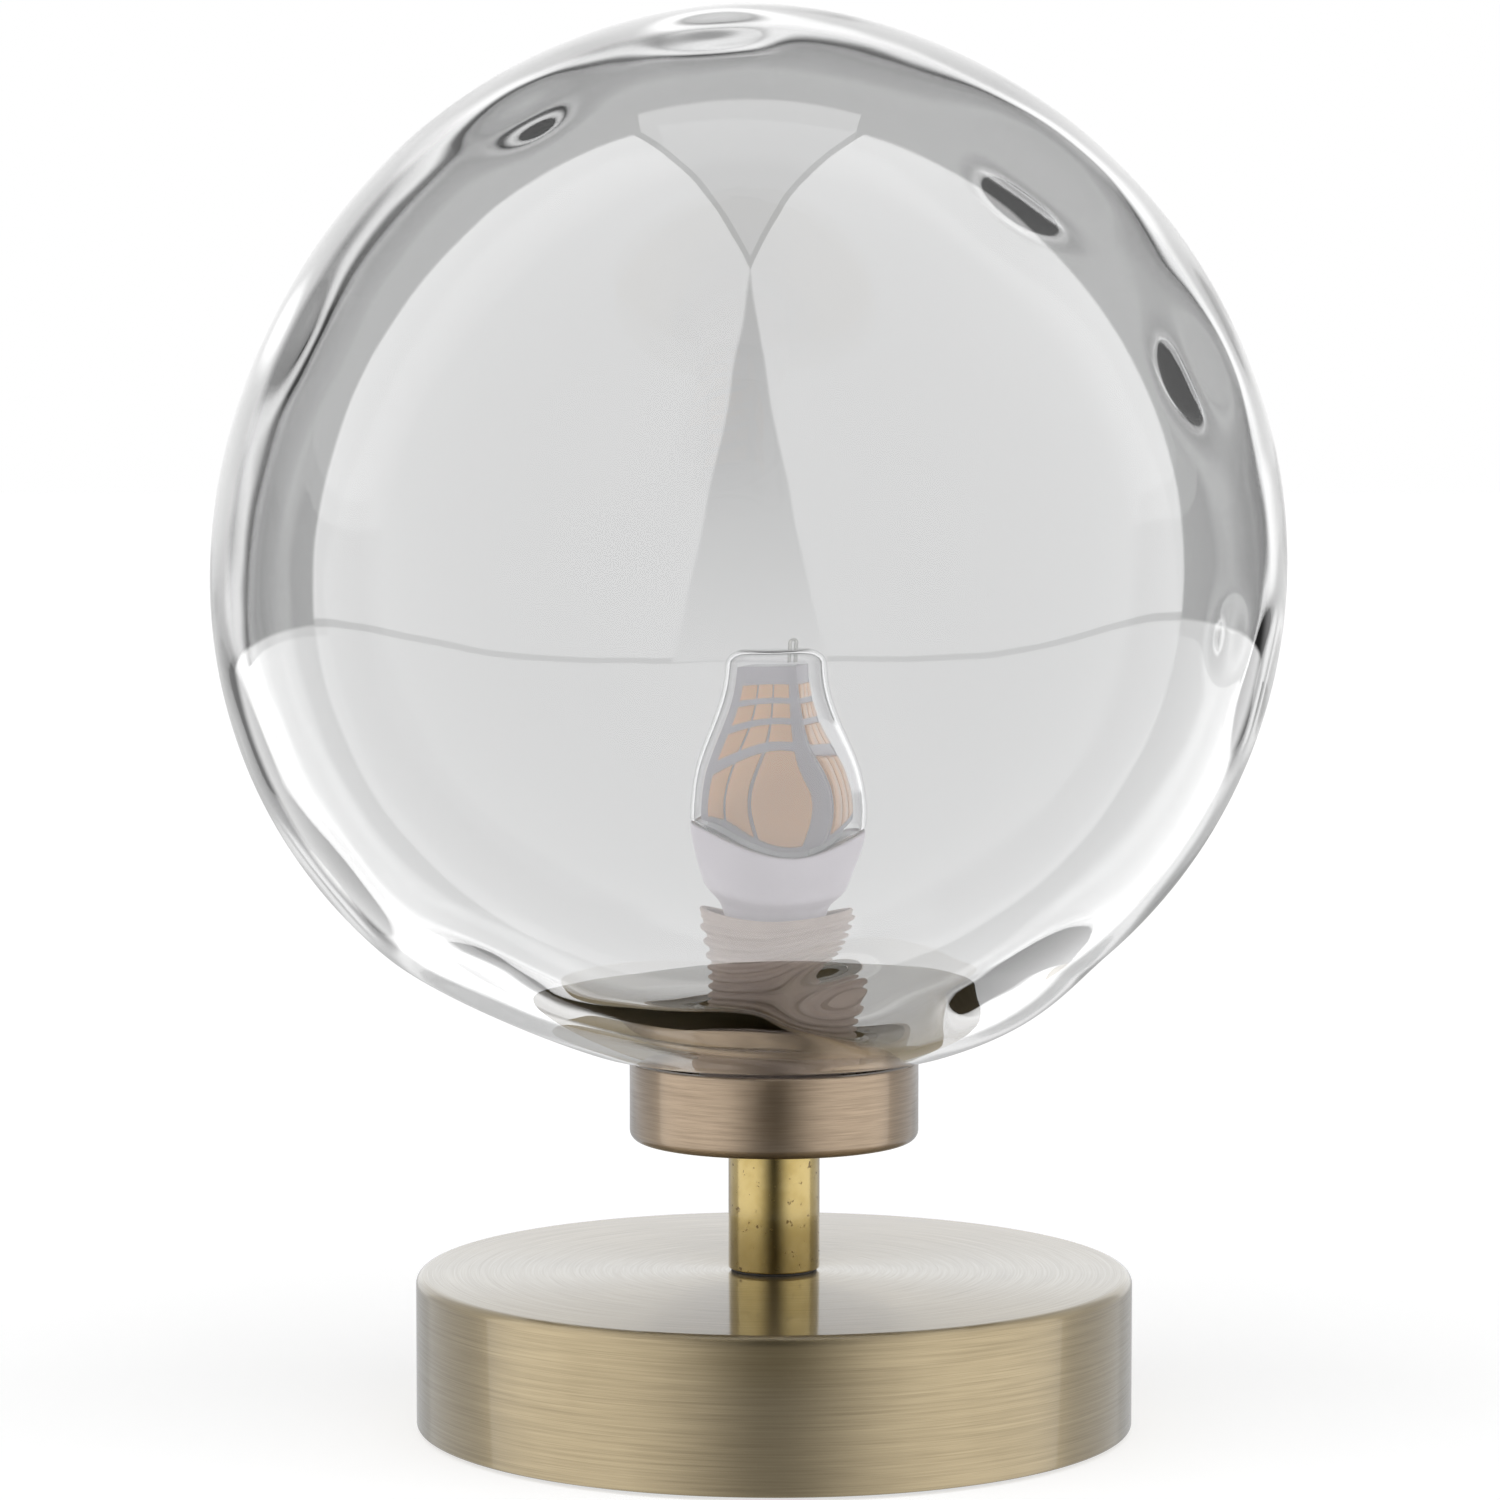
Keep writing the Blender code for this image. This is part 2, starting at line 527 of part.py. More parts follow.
def make_insert(ceramic, steel, bronze):
    profile = [(0, INSERT_TOP_Z), (INSERT_RADIUS, INSERT_TOP_Z), (INSERT_RADIUS, INSERT_BOTTOM_Z),
               (0, INSERT_BOTTOM_Z)]
    insert = turned("holder_insert", ceramic, profile, 28)
    slot_bottom = INSERT_TOP_Z - PIN_SLOT_DEPTH
    slot_extra = 1.0 * MM
    contact_bottom = slot_bottom + 0.4 * MM
    contact_top = INSERT_TOP_Z - 2.0 * MM
    for i, side in enumerate((-1, 1)):
        x = side * PIN_SPACING / 2
        notch(insert, f"pin_slot_{i + 1}", (PIN_SLOT_LENGTH, PIN_SLOT_WIDTH, PIN_SLOT_DEPTH + slot_extra),
              (x, 0, (slot_bottom + INSERT_TOP_Z + slot_extra) / 2))
        drill(insert, f"lead_hole_{i + 1}", 1.2 * MM, (x, -1.0 * MM, INSERT_BOTTOM_Z), 10 * MM)
        box(f"holder_contact_{i + 1}", bronze, (2.6 * MM, 0.5 * MM, contact_top - contact_bottom),
            (x, -1.15 * MM, (contact_bottom + contact_top) / 2))
    ring("insert_ring", steel, 7.4 * MM, INSERT_RADIUS, INSERT_TOP_Z + GAP, INSERT_TOP_Z + GAP + 0.8 * MM, 28)


# ---------------------------------------------------------------- globe

def globe_arc(radius, ring_radius):
    """The globe's outline from its top down to a ring round the neck: nearly a circle, fuller low down."""
    end = -math.acos(ring_radius / radius)
    points = [(0, GLOBE_CENTRE_Z + radius)]
    for step in range(1, GLOBE_ARC_STEPS):
        elevation = math.pi / 2 + (end - math.pi / 2) * step / GLOBE_ARC_STEPS
        reach = radius * (1 - GLOBE_FULLNESS * math.sin(2 * elevation))
        points.append((reach * math.cos(elevation), GLOBE_CENTRE_Z + reach * math.sin(elevation)))
    points.append((ring_radius, GLOBE_CENTRE_Z + radius * math.sin(end)))
    return points


def set_off_centre(piece):
    """Move the globe sideways from its neck, by more and more from the neck up to the full offset."""
    bpy.context.view_layer.update()
    mesh = bpy.data.meshes.new_from_object(piece.evaluated_get(bpy.context.evaluated_depsgraph_get()))
    for vertex in mesh.vertices:
        share = (vertex.co.z - OFFSET_START_Z) / (OFFSET_END_Z - OFFSET_START_Z)
        share = min(max(share, 0), 1)
        vertex.co.x -= GLOBE_OFFSET * share * share * (3 - 2 * share)
    piece.modifiers.clear()
    piece.data = mesh


def make_globe(glass, silicone):
    """The globe is a thick-walled ball with a short neck. It turns about the lamp's axis to unscrew."""
    outside = globe_arc(GLOBE_RADIUS, NECK_OUTER)
    inside = globe_arc(GLOBE_RADIUS - GLASS, NECK_BORE)
    neck = [(NECK_OUTER, NECK_BOTTOM_Z), (NECK_BORE, NECK_BOTTOM_Z)]
    globe = turned("globe", glass, [*outside, *neck, *reversed(inside)], 36)
    set_off_centre(globe)
    seal_bottom = CUP_FLOOR_Z + GAP + SLEEVE_FLANGE + GAP
    seal = ring("globe_seal", silicone, SLEEVE_THREAD_OUTER + GAP, SLEEVE_FLANGE_RADIUS - GAP, seal_bottom,
                NECK_BOTTOM_Z - GAP, 28)
    parent_all([globe, seal], "globe_axis", (0, 0, NECK_BOTTOM_Z))


# ---------------------------------------------------------------- bulb

def pin_loop(name, steel, x):
    """A G9 pin: a hairpin of stiff wire whose two legs go up into the bulb's base."""
    half = PIN_LOOP / 2 - PIN_WIRE
    tip = BULB_BOTTOM_Z - PIN_LENGTH + PIN_WIRE
    leg_top = BULB_BOTTOM_Z + 2.6 * MM
    bend = arc(0, tip + half, half, 180, 360, 6)
    points = [(x - half, 0, leg_top), *[(x + r, 0, z) for r, z in bend], (x + half, 0, leg_top)]
    return wire(name, steel, points, PIN_WIRE, 1)


def make_bulb_base(ceramic):
    floor_top = BULB_BOTTOM_Z + 1.8 * MM
    cavity_low = 5.6 * MM
    cavity_high = 7.1 * MM
    edge = 0.6 * MM
    outside = [(BULB_RADIUS, BULB_BASE_TOP_Z), (BULB_RADIUS, BULB_SHOULDER_Z + edge),
               (BULB_RADIUS - edge, BULB_SHOULDER_Z), (BULB_NECK_RADIUS, BULB_NECK_TOP_Z),
               (BULB_NECK_RADIUS, BULB_BOTTOM_Z + edge), (BULB_NECK_RADIUS - edge, BULB_BOTTOM_Z),
               (0, BULB_BOTTOM_Z)]
    inside = [(0, floor_top), (cavity_low, floor_top), (cavity_low, BULB_SHOULDER_Z),
              (cavity_high, BULB_SHOULDER_Z + 1.2 * MM), (cavity_high, BULB_BASE_TOP_Z)]
    base = turned("bulb_base", ceramic, [*inside, *outside], 28)
    leg = PIN_LOOP / 2 - PIN_WIRE
    for i, side in enumerate((-1, 1)):
        for j, offset in enumerate((-leg, leg)):
            place = (side * PIN_SPACING / 2 + offset, 0, BULB_BOTTOM_Z)
            drill(base, f"pin_hole_{i + 1}_{j + 1}", PIN_WIRE + GAP, place, 6 * MM)
    return base


def make_bulb_cover(clear):
    """The bulb's clear cover: a tube with a rounded, nearly flat top."""
    inner = BULB_RADIUS - BULB_COVER_WALL
    flat = BULB_RADIUS - BULB_COVER_EDGE
    inner_edge = BULB_COVER_EDGE - BULB_COVER_WALL
    bottom = BULB_BASE_TOP_Z + GAP
    outside = arc(flat, BULB_TOP_Z - BULB_COVER_EDGE, BULB_COVER_EDGE, 90, 0, 4)
    inside = arc(flat, BULB_TOP_Z - BULB_COVER_EDGE, inner_edge, 0, 90, 4)
    profile = [(0, BULB_TOP_Z), *outside, (BULB_RADIUS, bottom), (inner, bottom), *inside,
               (0, BULB_TOP_Z - BULB_COVER_WALL)]
    cover = turned("bulb_cover", clear, profile, 28)
    drill(cover, "loop_hole", 1.15 * MM, (LOOP_X, 0, BULB_TOP_Z), 4 * MM)
    return cover


def make_led_core(aluminium):
    foot_bottom = 84.0 * MM
    profile = [(0, BULB_BASE_TOP_Z), (6.8 * MM, BULB_BASE_TOP_Z), (6.8 * MM, foot_bottom), (0, foot_bottom)]
    core = turned("led_core", aluminium, profile, 28)
    post_bottom = BULB_BASE_TOP_Z - 1 * MM
    post_size = (2 * CORE_HALF, 2 * CORE_HALF, BOARD_TOP_Z - post_bottom)
    post = add_cutter("core_post", boxes_mesh("core_post", post_size, [(0, 0, 0)]))
    post.location = (0, 0, (BOARD_TOP_Z + post_bottom) / 2)
    post.rotation_euler = (0, 0, BOARD_TURN)
    combine(core, post, "UNION")
    return core


def make_led_panels(board):
    """Four boards round the core. The front and back ones are wider and cover the edges of the other two."""
    inner_face = CORE_HALF + GAP
    middle = inner_face + BOARD_THICKNESS / 2
    height = BOARD_TOP_Z - BOARD_BOTTOM_Z
    wide = 2 * (inner_face + BOARD_THICKNESS)
    narrow = 2 * (inner_face - GAP)
    chip_depth = BOARD_THICKNESS
    chip_y = -(BOARD_THICKNESS / 2 + CHIP_STANDS_OUT - chip_depth / 2)
    first_x = -CHIP_PITCH_X * (CHIP_COLUMNS - 1) / 2
    first_z = CHIP_FIRST_Z - (BOARD_BOTTOM_Z + BOARD_TOP_Z) / 2
    panels = []
    for i in range(4):
        width = wide if i % 2 == 0 else narrow
        turn = BOARD_TURN + math.radians(90 * i)
        place = (middle * math.sin(turn), -middle * math.cos(turn), (BOARD_BOTTOM_Z + BOARD_TOP_Z) / 2)
        panel = box(f"led_panel_{i + 1}", board, (width, BOARD_THICKNESS, height), place)
        panel.rotation_euler = (0, 0, turn)
        centres = [(first_x + CHIP_PITCH_X * column, chip_y, first_z + CHIP_PITCH_Z * row)
                   for row in range(CHIP_ROWS) for column in range(CHIP_COLUMNS)]
        name = f"led_chips_{i + 1}"
        chips = add_cutter(name, boxes_mesh(name, (CHIP_WIDTH, chip_depth, CHIP_HEIGHT), centres))
        chips.location = place
        chips.rotation_euler = panel.rotation_euler
        combine(panel, chips, "UNION")
        panels.append(panel)
    return panels


def make_bulb(ceramic, clear, aluminium, board, steel, green_board):
    base = make_bulb_base(ceramic)
    cover = make_bulb_cover(clear)
    core = make_led_core(aluminium)
    panels = make_led_panels(board)
    driver = box("bulb_driver", green_board, (8.0 * MM, 1.0 * MM, 8.2 * MM), (0, 0, 79.4 * MM))
    pins = [pin_loop(f"bulb_pin_{i + 1}", steel, side * PIN_SPACING / 2) for i, side in enumerate((-1, 1))]
    half = 0.5 * MM
    loop_top = 112.2 * MM
    leg_bottom = BOARD_TOP_Z + 2 * GAP
    bend = arc(0, loop_top - half, half, 180, 0, 4)
    loop = wire("bulb_lead_loop", steel,
                [(LOOP_X - half, 0, leg_bottom), *[(LOOP_X + r, 0, z) for r, z in bend],
                 (LOOP_X + half, 0, leg_bottom)], 0.3 * MM, 1)
    parent_all([base, cover, core, *panels, driver, *pins, loop], "bulb_axis", (0, 0, BULB_BOTTOM_Z))


# ---------------------------------------------------------------- the lamp

clear_scene()
PIECES = new_collection("table_lamp")
CUTTERS = new_collection("cutters")

BRASS = finish("antique_brass", (0.52, 0.42, 0.25), 1.0, 0.32)
STEM_BRASS = finish("stem_brass", (0.44, 0.33, 0.14), 1.0, 0.25)
DARK = finish("dark_gasket", (0.03, 0.03, 0.03), 0.0, 0.6)
STEEL = finish("plate_steel", (0.35, 0.35, 0.36), 1.0, 0.45)
SCREW_STEEL = finish("zinc_steel", (0.62, 0.62, 0.60), 1.0, 0.35)
CAST_IRON = finish("cast_iron", (0.08, 0.08, 0.08), 0.8, 0.75)
FELT = finish("black_felt", (0.02, 0.02, 0.02), 0.0, 0.95)
RUBBER = finish("black_rubber", (0.025, 0.025, 0.025), 0.0, 0.7)
SILICONE = finish("clear_silicone", (0.75, 0.75, 0.75), 0.0, 0.4, 0.6)
NYLON = finish("white_nylon", (0.80, 0.80, 0.78), 0.0, 0.5)
TINNED = finish("tinned_copper", (0.66, 0.64, 0.60), 1.0, 0.35)
BRONZE = finish("contact_bronze", (0.55, 0.36, 0.20), 1.0, 0.35)
PHENOLIC = finish("holder_beige", (0.62, 0.52, 0.47), 0.0, 0.55)
CERAMIC = finish("white_ceramic", (0.66, 0.64, 0.66), 0.0, 0.45)
GLASS_CLEAR = finish("clear_glass", (0.97, 0.97, 0.97), 0.0, 0.02, 1.0)
COVER_CLEAR = finish("bulb_clear", (0.95, 0.95, 0.96), 0.0, 0.05, 1.0)
ALUMINIUM = finish("core_aluminium", (0.60, 0.60, 0.62), 1.0, 0.4)
BOARD = finish("led_board", (0.62, 0.60, 0.64), 0.0, 0.5)
DRIVER_GREEN = finish("driver_green", (0.06, 0.22, 0.10), 0.0, 0.5)
BROWN = finish("lead_brown", (0.20, 0.09, 0.04), 0.0, 0.5)
BLUE = finish("lead_blue", (0.04, 0.12, 0.45), 0.0, 0.5)
GREEN = finish("lead_green", (0.15, 0.35, 0.05), 0.0, 0.5)

make_felt(FELT)
make_base_cover(STEEL, SCREW_STEEL)
make_ballast(CAST_IRON)
make_base_shell(BRASS)
make_inlet(RUBBER)
make_cord_clamp(STEEL, SCREW_STEEL)
make_terminal_block(NYLON, SCREW_STEEL)
make_earth_tag(TINNED, SCREW_STEEL)
make_leads(BROWN, BLUE, GREEN)
make_rod(SCREW_STEEL, SCREW_STEEL)
make_stem(STEM_BRASS, DARK)
make_cup(BRASS)
make_sleeve(PHENOLIC)
make_insert(CERAMIC, STEEL, BRONZE)
make_globe(GLASS_CLEAR, SILICONE)
make_bulb(CERAMIC, COVER_CLEAR, ALUMINIUM, BOARD, SCREW_STEEL, DRIVER_GREEN)
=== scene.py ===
"""Looks for the glass-globe table lamp: fine meshes, materials, studio and camera, in metres, +Z up.

The camera looks along +Y. Round pieces are turned about the lamp's axis, which is the Z axis. Their outer
sizes are read off the frame. The glass globe gets the uneven inner surface of mould-blown glass.
"""
import json
import math

import bmesh
import bpy
import numpy as np
from mathutils import Matrix, Vector


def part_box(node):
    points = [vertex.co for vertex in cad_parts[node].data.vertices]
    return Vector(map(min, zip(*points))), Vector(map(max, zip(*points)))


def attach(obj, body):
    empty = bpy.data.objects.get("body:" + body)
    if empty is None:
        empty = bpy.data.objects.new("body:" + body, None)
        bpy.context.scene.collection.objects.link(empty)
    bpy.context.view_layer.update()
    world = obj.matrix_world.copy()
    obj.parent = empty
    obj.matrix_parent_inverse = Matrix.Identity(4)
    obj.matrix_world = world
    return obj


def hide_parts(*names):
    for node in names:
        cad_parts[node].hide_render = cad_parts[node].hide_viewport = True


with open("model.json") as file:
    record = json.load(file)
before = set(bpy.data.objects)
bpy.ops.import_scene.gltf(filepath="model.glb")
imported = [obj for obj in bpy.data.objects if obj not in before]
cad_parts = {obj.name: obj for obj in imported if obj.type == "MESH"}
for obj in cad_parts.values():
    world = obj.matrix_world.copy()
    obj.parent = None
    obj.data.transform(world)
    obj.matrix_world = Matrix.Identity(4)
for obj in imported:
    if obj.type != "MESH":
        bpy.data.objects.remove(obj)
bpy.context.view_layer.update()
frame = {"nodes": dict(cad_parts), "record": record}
MM = 0.001

# Camera
CAMERA_DISTANCE = 0.70
CAMERA_HEIGHT = 0.1471
CAMERA_AIM_Z = 0.0958
CAMERA_LENS = 119.8
CAMERA_X = -0.0034
SENSOR_WIDTH = 36.0

# Segments round a turned piece
FINE = 256
SMALL = 96
GLASS_ROUND = 320
HOLDER_ROUND = 128
HOLE_ROUND = 48


# ---------------------------------------------------------------- places read off the frame

def low(node):
    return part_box(node)[0]


def high(node):
    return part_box(node)[1]


def outer_radius(node):
    return (high(node).x - low(node).x) / 2


GLOBE_RADIUS = 75.0 * MM
GLOBE_TOP = high("globe").z
GLOBE_CENTRE = GLOBE_TOP - GLOBE_RADIUS
NECK_BOTTOM = low("globe").z
GAP = 0.3 * MM
ROD_HOLE = outer_radius("threaded_rod") + GAP

# Points closer than this are one point, and a point this near a radius is on it
MERGE = 0.001 * MM
ON_SURFACE = 0.01 * MM


# ---------------------------------------------------------------- node helper

class Nodes:
    """Short ways to add and join shader nodes in one tree."""

    def __init__(self, tree):
        self.tree = tree

    def add(self, kind, **settings):
        node = self.tree.nodes.new(kind)
        for name, value in settings.items():
            setattr(node, name, value)
        return node

    def put(self, socket, value):
        if isinstance(value, bpy.types.NodeSocket):
            self.tree.links.new(value, socket)
        else:
            socket.default_value = value

    def math(self, operation, first, second=0.0):
        node = self.add("ShaderNodeMath", operation=operation)
        for socket, value in zip(node.inputs, (first, second)):
            self.put(socket, value)
        return node.outputs[0]

    def smooth(self, value, start, end, low_out=0.0, high_out=1.0):
        """A soft step: low_out on start's side and high_out on end's side."""
        node = self.add("ShaderNodeMapRange", interpolation_type="SMOOTHSTEP")
        for socket, item in zip(node.inputs, (value, start, end, low_out, high_out)):
            self.put(socket, item)
        return node.outputs[0]

    def mix(self, factor, first, second):
        """A colour between first and second."""
        node = self.add("ShaderNodeMix", data_type="RGBA")
        self.put(node.inputs[0], factor)
        self.put(node.inputs[6], first)
        self.put(node.inputs[7], second)
        return node.outputs[2]

    def blend(self, factor, first, second):
        """A number between first and second."""
        node = self.add("ShaderNodeMix", data_type="FLOAT")
        self.put(node.inputs[0], factor)
        self.put(node.inputs[2], first)
        self.put(node.inputs[3], second)
        return node.outputs[0]

    def noise(self, vector, scale, detail=2.0, roughness=0.5, w=None):
        node = self.add("ShaderNodeTexNoise", noise_dimensions="3D" if w is None else "4D")
        self.put(node.inputs["Vector"], vector)
        if w is not None:
            self.put(node.inputs["W"], w)
        node.inputs["Scale"].default_value = scale
        node.inputs["Detail"].default_value = detail
        node.inputs["Roughness"].default_value = roughness
        return node.outputs[0]

    def split(self, vector):
        node = self.add("ShaderNodeSeparateXYZ")
        self.put(node.inputs[0], vector)
        return node.outputs

    def join(self, x, y, z):
        node = self.add("ShaderNodeCombineXYZ")
        for socket, value in zip(node.inputs, (x, y, z)):
            self.put(socket, value)
        return node.outputs[0]

    def place(self):
        return self.add("ShaderNodeTexCoord").outputs["Object"]

    def bump(self, height, distance, strength=1.0):
        node = self.add("ShaderNodeBump")
        node.inputs["Strength"].default_value = strength
        node.inputs["Distance"].default_value = distance
        self.put(node.inputs["Height"], height)
        return node.outputs[0]


def new_material(name):
    """A material with only a Principled shader, and the helper for its tree."""
    material = bpy.data.materials.new(name)
    material.use_nodes = True
    nodes = Nodes(material.node_tree)
    shader = material.node_tree.nodes["Principled BSDF"]
    return material, nodes, shader


def grey(value):
    return (value, value, value, 1.0)


# ---------------------------------------------------------------- materials

# Brush lines: steps of their noise per metre outwards and upwards, and the share for the coarser lines
BRUSH_OUTWARDS = 9000.0
BRUSH_UPWARDS = 7000.0
BRUSH_COARSE = 0.16
BRUSH_DEPTH = 0.012 * MM

# Turns the long side of a highlight across the brush lines
ACROSS_LINES = 0.25


def brushed_brass(name, bright, dark, roughness, coat, streak):
    """Antique brass with brush lines round the lamp's axis, under clear lacquer."""
    material, nodes, shader = new_material(name)
    x, y, z = nodes.split(nodes.place())
    squares = nodes.math("ADD", nodes.math("MULTIPLY", x, x), nodes.math("MULTIPLY", y, y))
    radius = nodes.math("SQRT", squares)
    around = nodes.join(nodes.math("DIVIDE", x, radius), nodes.math("DIVIDE", y, radius), 0.0)
    across = nodes.math("ADD", nodes.math("MULTIPLY", radius, BRUSH_OUTWARDS),
                        nodes.math("MULTIPLY", z, BRUSH_UPWARDS))
    fine = nodes.noise(around, 3.0, 3.0, 0.7, w=across)
    coarse = nodes.noise(around, 2.2, 2.0, 0.6, w=nodes.math("MULTIPLY", across, BRUSH_COARSE))
    lines = nodes.math("ADD", nodes.math("MULTIPLY", fine, 0.6), nodes.math("MULTIPLY", coarse, 0.4))
    patch = nodes.noise(nodes.place(), 45.0, 3.0, 0.6)
    tone = nodes.math("ADD", nodes.math("MULTIPLY", lines, 0.8), nodes.math("MULTIPLY", patch, 0.2))
    shade = nodes.smooth(tone, 0.5 - streak, 0.5 + streak)
    gloss = nodes.smooth(lines, 0.3, 0.7, roughness * 1.15, roughness * 0.85)
    nodes.put(shader.inputs["Base Color"], nodes.mix(shade, (*dark, 1.0), (*bright, 1.0)))
    nodes.put(shader.inputs["Roughness"], gloss)
    nodes.put(shader.inputs["Normal"], nodes.bump(lines, BRUSH_DEPTH, 0.35))
    shader.inputs["Metallic"].default_value = 1.0
    shader.inputs["Anisotropic"].default_value = 0.85
    shader.inputs["Anisotropic Rotation"].default_value = ACROSS_LINES
    tangent = nodes.add("ShaderNodeTangent", direction_type="RADIAL", axis="Z")
    nodes.put(shader.inputs["Tangent"], tangent.outputs[0])
    shader.inputs["Coat Weight"].default_value = coat
    shader.inputs["Coat Roughness"].default_value = 0.06
    shader.inputs["Coat IOR"].default_value = 1.5
    shader.inputs["Specular Tint"].default_value = (0.88, 0.93, 1.0, 1.0)
    return material


def speckled_brass():
    """Smooth golden brass of the stem, with small dark specks in its lacquer."""
    material, nodes, shader = new_material("stem_gold")
    light_gold = (0.45, 0.345, 0.135, 1.0)
    dark_gold = (0.37, 0.27, 0.085, 1.0)
    speck = (0.20, 0.13, 0.04, 1.0)
    place = nodes.place()
    specks = nodes.smooth(nodes.noise(place, 900.0, 2.0, 0.6), 0.62, 0.72)
    cloud = nodes.noise(place, 160.0, 3.0, 0.6)
    tone = nodes.mix(nodes.smooth(cloud, 0.35, 0.65), dark_gold, light_gold)
    nodes.put(shader.inputs["Base Color"], nodes.mix(specks, tone, speck))
    nodes.put(shader.inputs["Roughness"], nodes.blend(specks, 0.20, 0.45))
    nodes.put(shader.inputs["Normal"], nodes.bump(cloud, 0.02 * MM, 0.3))
    shader.inputs["Metallic"].default_value = 1.0
    shader.inputs["Coat Weight"].default_value = 0.6
    shader.inputs["Coat Roughness"].default_value = 0.05
    return material


def clear_body(name, tint, second, ior, waves):
    """Clear glass or plastic with a faint uneven tint and shallow waves in its surface."""
    material, nodes, shader = new_material(name)
    cloud = nodes.noise(nodes.place(), 30.0, 2.0, 0.5)
    ripple = nodes.noise(nodes.place(), 70.0, 1.0, 0.5)
    uneven = nodes.smooth(cloud, 0.35, 0.65)
    nodes.put(shader.inputs["Base Color"], nodes.mix(uneven, (*tint, 1.0), (*second, 1.0)))
    nodes.put(shader.inputs["Normal"], nodes.bump(ripple, waves))
    shader.inputs["Transmission Weight"].default_value = 1.0
    shader.inputs["Roughness"].default_value = 0.0
    shader.inputs["IOR"].default_value = ior
    return material


def moulded(name, colour, second, roughness, grain=0.02 * MM, grain_scale=900.0, metallic=0.0, coat=0.0):
    """A material with a fine grain and a slow drift between two near colours."""
    material, nodes, shader = new_material(name)
    place = nodes.place()
    drift = nodes.smooth(nodes.noise(place, 120.0, 3.0, 0.6), 0.3, 0.7)
    fine = nodes.noise(place, grain_scale, 2.0, 0.6)
    gloss = nodes.smooth(fine, 0.3, 0.7, roughness * 0.85, roughness * 1.15)
    nodes.put(shader.inputs["Base Color"], nodes.mix(drift, (*colour, 1.0), (*second, 1.0)))
    nodes.put(shader.inputs["Roughness"], gloss)
    nodes.put(shader.inputs["Normal"], nodes.bump(fine, grain, 0.4))
    shader.inputs["Metallic"].default_value = metallic
    shader.inputs["Coat Weight"].default_value = coat
    return material


# Two near colours and the roughness of each moulded, painted or plated look
PLAIN_LOOKS = {
    # Near black: the stem's washer, whose colour also paints the shade line at the stem's foot
    "dark_gasket": ((0.02, 0.018, 0.015), (0.04, 0.035, 0.03), 0.6),
    "black_rubber": ((0.020, 0.020, 0.021), (0.03, 0.03, 0.03), 0.65),
    "white_nylon": ((0.75, 0.75, 0.72), (0.80, 0.80, 0.77), 0.5),
    "holder_beige": ((0.43, 0.345, 0.31), (0.50, 0.405, 0.36), 0.5),
    "clear_silicone": ((0.70, 0.70, 0.70), (0.76, 0.76, 0.76), 0.4),
    "bulb_ceramic": ((0.60, 0.56, 0.61), (0.66, 0.62, 0.67), 0.45),
    "led_board": ((0.52, 0.49, 0.54), (0.58, 0.55, 0.60), 0.4),
    "driver_board": ((0.04, 0.18, 0.08), (0.05, 0.24, 0.11), 0.45),
    "brown_lead": ((0.16, 0.07, 0.03), (0.20, 0.09, 0.04), 0.45),
    "blue_lead": ((0.03, 0.10, 0.40), (0.04, 0.13, 0.48), 0.45),
    "green_lead": ((0.12, 0.32, 0.04), (0.60, 0.55, 0.05), 0.45),
}
METAL_LOOKS = {
    "plate_steel": ((0.40, 0.40, 0.42), (0.50, 0.50, 0.50), 0.4),
    "zinc_steel": ((0.60, 0.60, 0.58), (0.70, 0.69, 0.66), 0.32),
    "contact_bronze": ((0.50, 0.32, 0.18), (0.6, 0.4, 0.24), 0.35),
    "aluminium": ((0.55, 0.55, 0.57), (0.62, 0.62, 0.64), 0.4),
}
GLAZED_LOOKS = {
    "ceramic": ((0.74, 0.72, 0.69), (0.80, 0.78, 0.75), 0.35, 0.5),
    "led_phosphor": ((0.95, 0.52, 0.24), (0.98, 0.58, 0.30), 0.35, 0.3),
}


def make_materials():
    """One material for each slot in the record, and those for the details."""
    looks = {
        "brushed_brass": brushed_brass("brushed_brass", (0.415, 0.335, 0.20), (0.25, 0.195, 0.105),
                                       roughness=0.38, coat=0.9, streak=0.20),
        "cup_brass": brushed_brass("cup_brass", (0.42, 0.32, 0.22), (0.24, 0.175, 0.115),
                                   roughness=0.36, coat=0.7, streak=0.22),
        "stem_brass": speckled_brass(),
        "felt": moulded("felt", (0.015, 0.015, 0.016), (0.03, 0.03, 0.032), 0.95, 0.2 * MM, 2500.0),
        "cast_iron": moulded("cast_iron", (0.05, 0.05, 0.05), (0.09, 0.085, 0.08), 0.75, 0.1 * MM, 500.0),
        "clear_glass": clear_body("clear_glass", (0.975, 0.978, 0.978), (0.985, 0.987, 0.987),
                                  ior=1.5, waves=0.06 * MM),
        "bulb_clear": clear_body("bulb_clear", (0.97, 0.97, 0.98), (0.98, 0.98, 0.985),
                                 ior=1.45, waves=0.005 * MM),
    }
    for name, look in PLAIN_LOOKS.items():
        looks[name] = moulded(name, *look)
    for name, look in METAL_LOOKS.items():
        looks[name] = moulded(name, *look, metallic=1.0)
    for name, (colour, second, roughness, coat) in GLAZED_LOOKS.items():
        looks[name] = moulded(name, colour, second, roughness, coat=coat)
    return looks


# ---------------------------------------------------------------- mesh helpers

def arc(centre_r, centre_z, radius, start, end, steps):
    """Points of an arc in the plane of radius and height, between two angles in degrees."""
    angles = [math.radians(start + (end - start) * step / steps) for step in range(steps + 1)]
    return [(centre_r + radius * math.cos(a), centre_z + radius * math.sin(a)) for a in angles]


